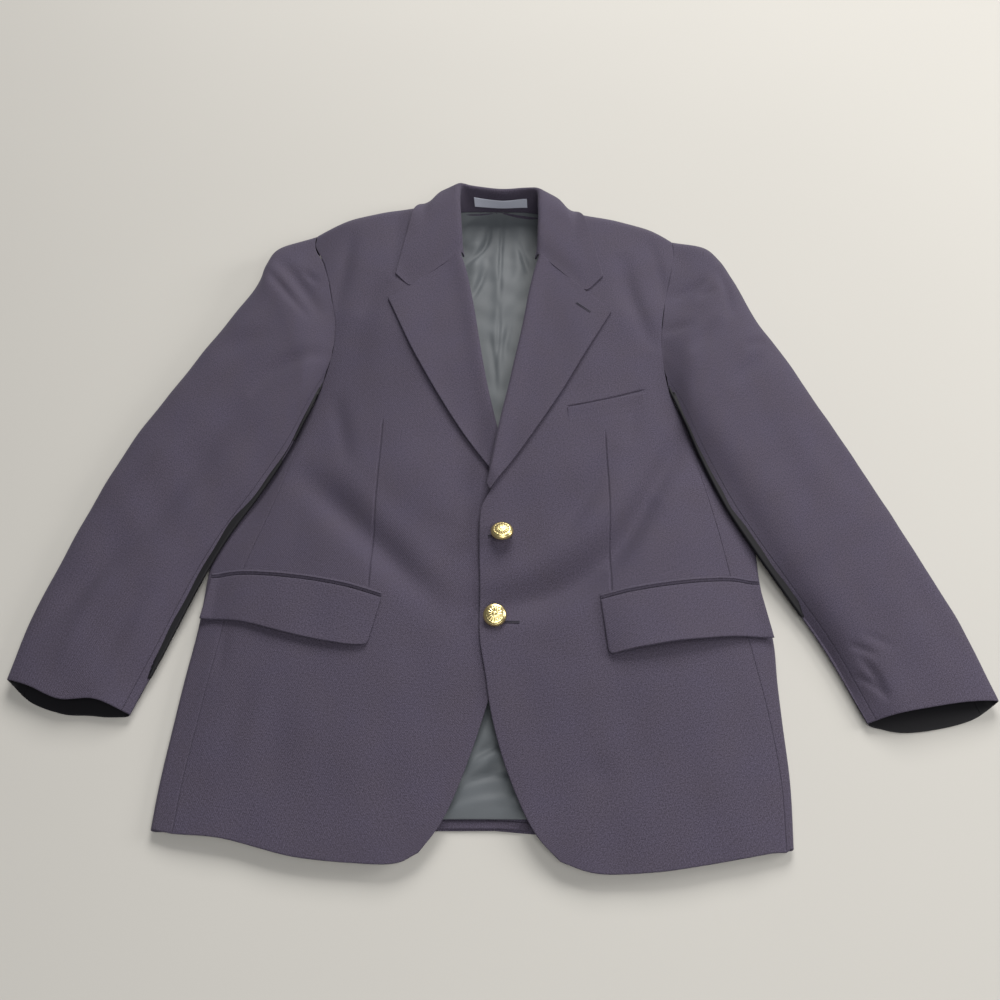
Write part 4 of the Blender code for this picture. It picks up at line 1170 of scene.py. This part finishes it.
def sleeveRing(side, lines, s, turn):
    # a point of the sleeve: s from cuff to armhole, turn round it from the outer fold over
    # the top (0 to pi) and back under the sleeve (pi to 2 pi)
    turn = np.mod(turn, math.tau)
    t = (1 + np.cos(turn)) / 2
    upper = turn <= math.pi
    inner, outer = lines["inner"], lines["outer"]
    edgeIn, edgeOut = inner(s), outer(s)
    heightIn = edgeIn[..., 2]
    heightOut = readColumn(sleeveLoft, "outer", s, "place")
    full = readColumn(sleeveLoft, "loft", s, "place")
    seamFront, seamBack = lines["seamFront"](t), lines["seamBack"](t)
    worn = np.where(upper[..., None], onFront(side, seamFront[..., 0], seamFront[..., 1]),
                    onBack(side, seamBack[..., 0], seamBack[..., 1]))
    ends = mix(inner(0.0), outer(0.0), t), mix(inner(1.0), outer(1.0), t)
    plan = mix(edgeIn, edgeOut, t) + mix(lines["cuff"](t), worn, s) - mix(ends[0], ends[1], s)
    level = heightIn + (heightOut - heightIn) * t
    head = 1 - ease((1 - s) / sleevePlan["headShare"])
    # the inner side climbs over the first third, the outer side is rounder
    innerClimb = 1 - (1 - np.minimum(t / sleevePlan["innerShare"], 1)) ** 2
    climb = np.where(t < 0.5, innerClimb, np.abs(np.sin(turn)) ** sleevePlan["outerPower"])
    crest = level + (full - level) * climb
    above = crest + (worn[..., 2] - crest) * head
    span = np.linalg.norm(edgeOut - edgeIn, axis=-1)
    radius = np.where(t > 0.5, heightOut, np.minimum(heightIn, sleevePlan["foldHeight"]))
    inward = np.minimum(np.minimum(t, 1 - t) * span, radius)
    bend = radius - np.sqrt(np.maximum(radius ** 2 - (radius - inward) ** 2, 0))
    below = np.where(t > 0.5, bend + (worn[..., 2] - bend) * head,
                     bend + (heightIn - radius) * (1 - ease(t * span / sleevePlan["foldWidth"])))
    armpit = ease((s - sleevePlan["armpitFrom"]) / sleevePlan["armpitShare"])
    cap = level - sleevePlan["armpitDrop"] * ease(t * span / sleevePlan["armpitWidth"]) * armpit
    below = np.maximum(below, np.minimum(bodyUnder(side, plan[..., 0], plan[..., 1]), cap))
    drop = readColumn(cuffDrop, sideNames[side], t, "place") * ease(1 - s / sleevePlan["cuffShare"])
    return np.stack([plan[..., 0], np.where(upper, plan[..., 1], plan[..., 1] - drop),
                     np.where(upper, above, below)], -1)


sleeveTopSpec = {"size": (205.0, 600.0), "step": 3.0, "wall": walls["cloth"], "rolls": (0.4, 0.4, 1.3, 0.6),
                 "flat": (0.22, 0.64), "cut": 0.102, "from": math.radians(-42), "to": math.radians(152)}
sleeveUnderSpec = {"size": (170.0, 600.0), "step": 3.2, "wall": walls["cloth"], "rolls": (0.4, 0.4, 1.3, 0.9),
                   "flat": (0.18, 0.62), "cut": 0.084, "from": math.radians(152.2),
                   "to": math.radians(317.85)}


def sleeveShell(side, name, spec, headGap):
    lines = sleeveLines(side)

    def surface(u, v):
        turn = spec["from"] + (spec["to"] - spec["from"]) * u
        return sleeveRing(side, lines, v * (1 - headGap / sleevePlan["length"]), turn)

    def relief(points, facing):
        x, y = points[..., 0], points[..., 1]
        rows = np.linspace(0, 1, points.shape[0])[:, None]
        quiet = ease((1 - rows) / sleevePlan["quietShare"])
        waves = softWaves(x, y, sleevePlan["waveSeed"], sleevePlan["waveHeight"])
        shape = creaseHeight(sleeveCreases[side], x, y) + waves
        return shape * np.clip(facing[..., 2], 0, 1) * quiet

    # the sleeves' inner faces take the near black finish: painted shade of the cuff hollows
    return clothShell(name, surface, spec, -side, worsted, lining=sleeveInsideShade, relief=relief)


for side in (-1, 1):
    name = sideNames[side]
    piece = sleeveShell(side, f"top_sleeve_{name}", sleeveTopSpec, gaps["head"])
    dressed(piece, f"sleeve_top_{name}")
    piece = sleeveShell(side, f"under_sleeve_{name}", sleeveUnderSpec, gaps["hidden"])
    dressed(piece, f"sleeve_under_{name}")
print("sleeves set in")


# Pockets

flapTops = {
    -1: ((-117, -162), (-159, -149), (-210, -138), (-262, -131), (-293, -132)),
    1: ((99, -164), (139, -154), (190, -144), (232, -138), (262, -140)),
}
flapFeet = {
    -1: ((-128, -212), (-153, -211), (-203, -200), (-255, -184), (-298, -177)),
    1: ((104, -222), (143, -215), (182, -208), (234, -200), (269, -198)),
}
flapSpec = {"size": (182.0, 55.0), "step": 2.2, "wall": walls["flap"], "rolls": (1.6, 1.6, 1.6, 2.4),
            "flat": (0.185, 0.057), "stand": {-1: (0.6, 3.4), 1: (1.0, 8.5)}, "corner": 5.0,
            "gapePlace": 0.65, "gapePower": 1.3, "leastInward": 14}
jettingSpec = {"size": (182.0, 6.0), "step": 2.0, "wall": walls["strip"], "rolls": (0.7, 0.7, 1.5, 1.7),
               "flat": (0.183, 0.010), "cut": 0.0016, "start": 0.7, "lift": 0.3, "puff": 0.9}


def pocketBase(side, place):
    fold = readColumn(sidePlans[side], "fold", place[..., 1])
    inward = np.maximum((fold - place[..., 0]) * side, flapSpec["leastInward"])
    return upperHeight(side, fold - side * inward, place[..., 1])


def flapSurface(side):
    head, foot = smoothLine(flapTops[side]), smoothLine(flapFeet[side])
    corner, power = flapSpec["corner"], flapSpec["gapePower"]

    def surface(u, v):
        # the lower inner corner is rounded
        fromFoot = v * flapSpec["size"][1]
        short = corner - np.sqrt(np.maximum(corner ** 2 - np.maximum(corner - fromFoot, 0) ** 2, 0))
        share = short / flapSpec["size"][0]
        u = share + u * (1 - share)
        place = mix(head(u), foot(u), 1 - v)
        # the foot gapes most a third of the way from its front corner
        low, high = flapSpec["stand"][side]
        stand = low + (high - low) * np.sin(math.pi * np.clip(u, 0, 1) ** flapSpec["gapePlace"]) ** power
        lift = walls["flap"] + gaps["layer"] + (1 - v) ** power * stand
        return np.stack([place[..., 0], place[..., 1], pocketBase(side, place) + lift], -1)

    return surface


def jettingSurface(side):
    head = smoothLine(flapTops[side])

    def surface(u, v):
        place = head(u)
        y = place[..., 1] + jettingSpec["start"] + jettingSpec["size"][1] * v
        place = np.stack([place[..., 0], y, 0 * y], -1)
        lift = walls["strip"] + jettingSpec["lift"] + jettingSpec["puff"] * np.sin(math.pi * v)
        return np.stack([place[..., 0], y, pocketBase(side, place) + lift], -1)

    return surface


for side in (-1, 1):
    name = sideNames[side]
    piece = clothShell(f"pocket_flap_{name}", flapSurface(side), flapSpec, side, worsted)
    dressed(piece, f"flap_{name}")
    piece = clothShell(f"pocket_jetting_{name}", jettingSurface(side), jettingSpec, side, worsted)
    dressed(piece, f"jetting_{name}")

weltSpec = {"size": (92.0, 21.0), "step": 1.8, "wall": walls["strip"], "rolls": (2.0, 2.0, 2.0, 0.9),
            "flat": (0.092, 0.021), "top": ((74, 66), (115, 78), (161, 94)), "sewnLift": 0.15,
            "sewnShare": 0.2}


def weltSurface(u, v):
    place = smoothLine(weltSpec["top"])(u)
    y = place[..., 1] - weltSpec["size"][1] * (1 - v)
    # only the mouth stands clear: the other edges are sewn down flat
    sewnLift, sewnShare = weltSpec["sewnLift"], weltSpec["sewnShare"]
    proud = sewnLift + (walls["strip"] - sewnLift) * ease((v - sewnShare) / (1 - sewnShare))
    return np.stack([place[..., 0], y, upperHeight(1, place[..., 0], y) + proud], -1)


weltPiece = clothShell("breast_pocket_welt", weltSurface, weltSpec, 1, worsted)
dressed(weltPiece, "breast_welt")
print("pockets made")


# Lining of the back and the turned-up hem

liningSpec = {"size": (300.0, 770.0), "step": 3.0, "wall": walls["lining"], "rolls": (0.8, 0.8, 1.6, 0.8),
              "flat": (0.38, 0.78), "cut": 0.246, "low": -372.0, "crowd": 1.2, "shift": 4,
              "halfWidth": 190, "narrowed": 60, "narrowFrom": 0.5, "narrowShare": 0.2,
              "neckHalf": 58, "pastNeck": 6, "shortOfRidge": 4, "sewnFrom": 0.955, "sewnDepth": 0.7,
              "lift": 2.4, "leastLift": -0.2, "waves": (5, 0.25, 18, 46),
              "hemRoll": 1.6, "hemRollPlace": 7, "hemRollWidth": 6,
              "footFrom": 0.93, "footHalf": 50, "footFade": 10}
liningCreases = table(
    "x1   y1   x2    y2   width depth bow",
    (1, 400, -2, 60, 9, 2.5, 0),
    (-22, 390, -34, 250, 10, 3.0, 0),
    (28, 385, 18, 240, 9, 2.6, 0),
    (-40, -370, 5, -250, 18, 4.5, 0),
    (5, 404, 0, 250, 2.4, -2.2, -1.5),
    (-54, 366, -28, 380, 3.8, -2.6, 1),
    (-12, 380, -47, 308, 3.4, -3.6, 9),
    (-18, 310, -37, 250, 3.8, -2.8, 2),
    (22, 354, 36, 296, 3.6, -2.8, 0),
    (-46, 386, -18, 392, 5.0, 1.3, 0),
    (-44, 342, -22, 356, 9.0, 1.6, 0),
    (-40, 296, -20, 324, 7.0, 1.6, 0),
    (-8, 336, -6, 284, 8.0, 1.4, 0),
    (13, 306, 10, 226, 9.0, 1.4, 0),
    (-1, 250, -4, 150, 2.8, -1.6, 1),
    (14, 226, 4, 150, 3.6, -1.5, -2),
    (-14, 206, -4, 106, 3.6, -1.5, 2),
    (-28, -318, 22, -290, 3.6, -3.4, 2),
    (-46, -346, 24, -326, 3.8, -3.6, 4),
    (-34, -332, 16, -306, 5.0, 3.4, 2),
    (-30, -290, 0, -246, 3.6, -2.8, 2),
    (-52, -364, 30, -352, 5.0, 2.6, 2),
)
# the top of the lining is sewn to the foot of the collar's stand
standFoot = table(
    "x    y    height",
    (-60, 388, 23),
    (-36, 396, 18),
    (0, 398, 16.2),
    (34, 395, 18),
    (58, 383, 23),
)


def liningSurface(u, v):
    spec, reach = liningSpec, 2 * u - 1
    spread = np.sign(reach) * np.abs(reach) ** spec["crowd"]
    width = spec["halfWidth"] - spec["narrowed"] * ease((v - spec["narrowFrom"]) / spec["narrowShare"])
    x = spread * width - spec["shift"]
    sewn = ease((v - spec["sewnFrom"]) / (1 - spec["sewnFrom"]))
    pair = []
    for half in (-1, 1):
        high = np.where(np.abs(x) < spec["neckHalf"], neckLine(half, x) + spec["pastNeck"],
                        ridgeAt(half, x)[0] - spec["shortOfRidge"])
        y = spec["low"] + (high - spec["low"]) * v
        creased = creaseHeight(liningCreases, x, y) + softWaves(x, y, *spec["waves"])
        lift = np.maximum(creased + spec["lift"], spec["leastLift"]) * (1 - sewn) - spec["sewnDepth"] * sewn
        # the lining hangs a little over its hem in a soft roll
        fromRoll = (y - spec["low"] - spec["hemRollPlace"]) / spec["hemRollWidth"]
        lift = lift + spec["hemRoll"] * np.exp(-fromRoll ** 2)
        pair.append(onBack(half, x, y, walls["cloth"] + gaps["layer"] + walls["lining"] + lift))
    laid = np.where((reach < 0)[..., None], pair[0], pair[1])
    foot = np.stack([x + 0 * v, readColumn(standFoot, "y", x, "x") + 0 * v,
                     readColumn(standFoot, "height", x, "x") + 0 * v], -1)
    inside = 1 - ease((np.abs(x) - spec["footHalf"]) / spec["footFade"])
    return mix(laid, foot, ease((v - spec["footFrom"]) / (1 - spec["footFrom"])) * inside)


liningPiece = clothShell("back_lining_satin", liningSurface, liningSpec, 1, liningSatin)
dressed(liningPiece, "back_lining")

hemSpec = {"size": (395.0, 9.0), "step": 3.0, "wall": walls["strip"], "rolls": (0.8, 0.8, 1.1, 0.9),
           "flat": (0.395, 0.010), "cut": 0.0029, "start": -200, "above": 1.5, "slope": 0.075,
           "turned": 7.0, "clearance": 0.4}


def hemSurface(u, v):
    x = hemSpec["start"] + hemSpec["size"][0] * u
    low = bodyPlan["backHemY"] + hemSpec["above"] - np.maximum(x, 0) * hemSpec["slope"]
    lift = walls["cloth"] + hemSpec["clearance"] + walls["strip"]
    return np.stack([x, low + hemSpec["turned"] * v, lift + 0 * x], -1)


hemPiece = clothShell("back_hem_turning", hemSurface, hemSpec, 1, worsted)
dressed(hemPiece, "back_hem")
print("lining and hem laid")


# Buttons

buttonSpec = {"radius": 11.5, "dome": 5.5, "shankRadius": 2.5, "shankHeight": 4.0, "around": 96,
              "ropeTurns": 44, "ropeTwist": 14, "flutes": 16, "rings": 30, "flattened": 0.985,
              # height, place and width of each raised band, as shares of the radius but for the height
              "boss": (0.35, 0.14, 0.05), "flute": (0.28, 0.48, 0.17), "ring": (0.3, 0.74, 0.03),
              "rope": (0.28, 0.90, 0.05), "rim": ((1.005, 0.2), (1.0, -0.5), (0.86, -1.4)),
              "shankTop": -1.8, "shankSunk": 2.3,
              "places": {"button_upper": (2.0, -91.0, -13.0), "button_lower": (-5.0, -180.0, 13.0)}}


def buttonMesh(name):
    # a turned dome with a roped rim and plain flutes round a small boss
    radius, dome, around = buttonSpec["radius"], buttonSpec["dome"], buttonSpec["around"]
    turns = np.arange(around) * math.tau / around
    places, faces = [], []

    def addRing(r, z):
        places.append(np.stack([r * np.cos(turns), r * np.sin(turns), z + 0 * turns], -1))

    def band(kind, share):
        height, place, width = buttonSpec[kind]
        return height * math.exp(-((share - place) / width) ** 2)

    for share in np.linspace(0.0, 1.0, buttonSpec["rings"]):
        height = dome * math.sqrt(max(1 - (share * buttonSpec["flattened"]) ** 2, 0))
        twist = turns * buttonSpec["ropeTurns"] + share * buttonSpec["ropeTwist"]
        addRing(share * radius, height + band("boss", share) + band("ring", share)
                + band("flute", share) * np.cos(turns * buttonSpec["flutes"])
                + band("rope", share) * (1 + np.cos(twist)))
    for share, z in buttonSpec["rim"]:
        addRing(share * radius, z)
    addRing(buttonSpec["shankRadius"], buttonSpec["shankTop"])
    addRing(buttonSpec["shankRadius"], -buttonSpec["shankSunk"] - buttonSpec["shankHeight"])
    count = len(places)
    following = np.roll(np.arange(around), -1)
    for i in range(count - 1):
        a, b = i * around + np.arange(around), i * around + following
        faces.append(np.stack([a, a + around, b + around, b], -1))
    places, faces = np.vstack(places), np.vstack(faces)
    return closedForm(meshFrom(name, places, faces, places[:, :2]), merged=1e-6)


for name, (x, y, tilt) in buttonSpec["places"].items():
    mesh = buttonMesh(f"domed_{name}")
    mesh.materials.append(polishedBrass)
    made = linked(f"domed_{name}", mesh)
    height = float(upperHeight(1, x, y)) + buttonSpec["shankHeight"] + buttonSpec["shankSunk"]
    made.location = (x * millimetre, y * millimetre, height * millimetre)
    made.rotation_euler = (math.radians(tilt), 0, 0)
    dressed(made, name)
print("buttons fastened")


# Buttonholes: a slit between two rows of purl stitches

stitchSpec = {"thread": 0.34, "start": 0.15, "length": 1.5, "spacing": 0.6, "sides": 6, "rings": 5,
              "lift": 0.25, "arch": 0.35, "endGirth": 0.5}


def buttonhole(name, start, end, heightAt):
    start, end = np.array(start, float), np.array(end, float)
    length = float(np.linalg.norm(end - start))
    heading = (end - start) / length
    aside = np.array([-heading[1], heading[0]])
    count = int(length / stitchSpec["spacing"])
    sides, rings = stitchSpec["sides"], stitchSpec["rings"]
    places, faces = [], []
    for i in range(count + 1):
        along = start + heading * length * i / count
        for hand in (-1, 1):
            for j, reach in enumerate(np.linspace(stitchSpec["start"], stitchSpec["length"], rings)):
                spot = along + aside * hand * reach
                arch = stitchSpec["arch"] * math.sin(math.pi * (j + 0.5) / (rings + 0.5))
                middle = np.array([*spot, float(heightAt(*spot)) + stitchSpec["lift"] + arch])
                girth = stitchSpec["thread"] * (stitchSpec["endGirth"] if j in (0, rings - 1) else 1.0)
                for k in range(sides):
                    turn = k * math.tau / sides
                    places.append(middle + girth * np.array([*(heading * math.cos(turn)), math.sin(turn)]))
            first = len(places) - rings * sides
            for j in range(rings - 1):
                for k in range(sides):
                    a, b = first + j * sides + k, first + j * sides + (k + 1) % sides
                    faces.append((a, b, b + sides, a + sides))
    places = np.array(places)
    mesh = closedForm(meshFrom(name, places, np.array(faces), places[:, :2]))
    # the thread's dark colour carries the painted shade of the slit
    mesh.materials.append(threadWithSlitShade)
    made = linked(name, mesh)
    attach(made, "root")


def onLapel(x, y):
    return upperHeight(1, x, y) + gaps["layer"] + walls["lapel"]


def onLeftFront(x, y):
    return upperHeight(1, x, y)


buttonhole("buttonhole_lower", (-6, -184), (19, -186), onLeftFront)
buttonhole("buttonhole_upper", (-12, -93), (12, -93), onLeftFront)
buttonhole("buttonhole_lapel", (89, 211), (104, 197), onLapel)
print("buttonholes worked")
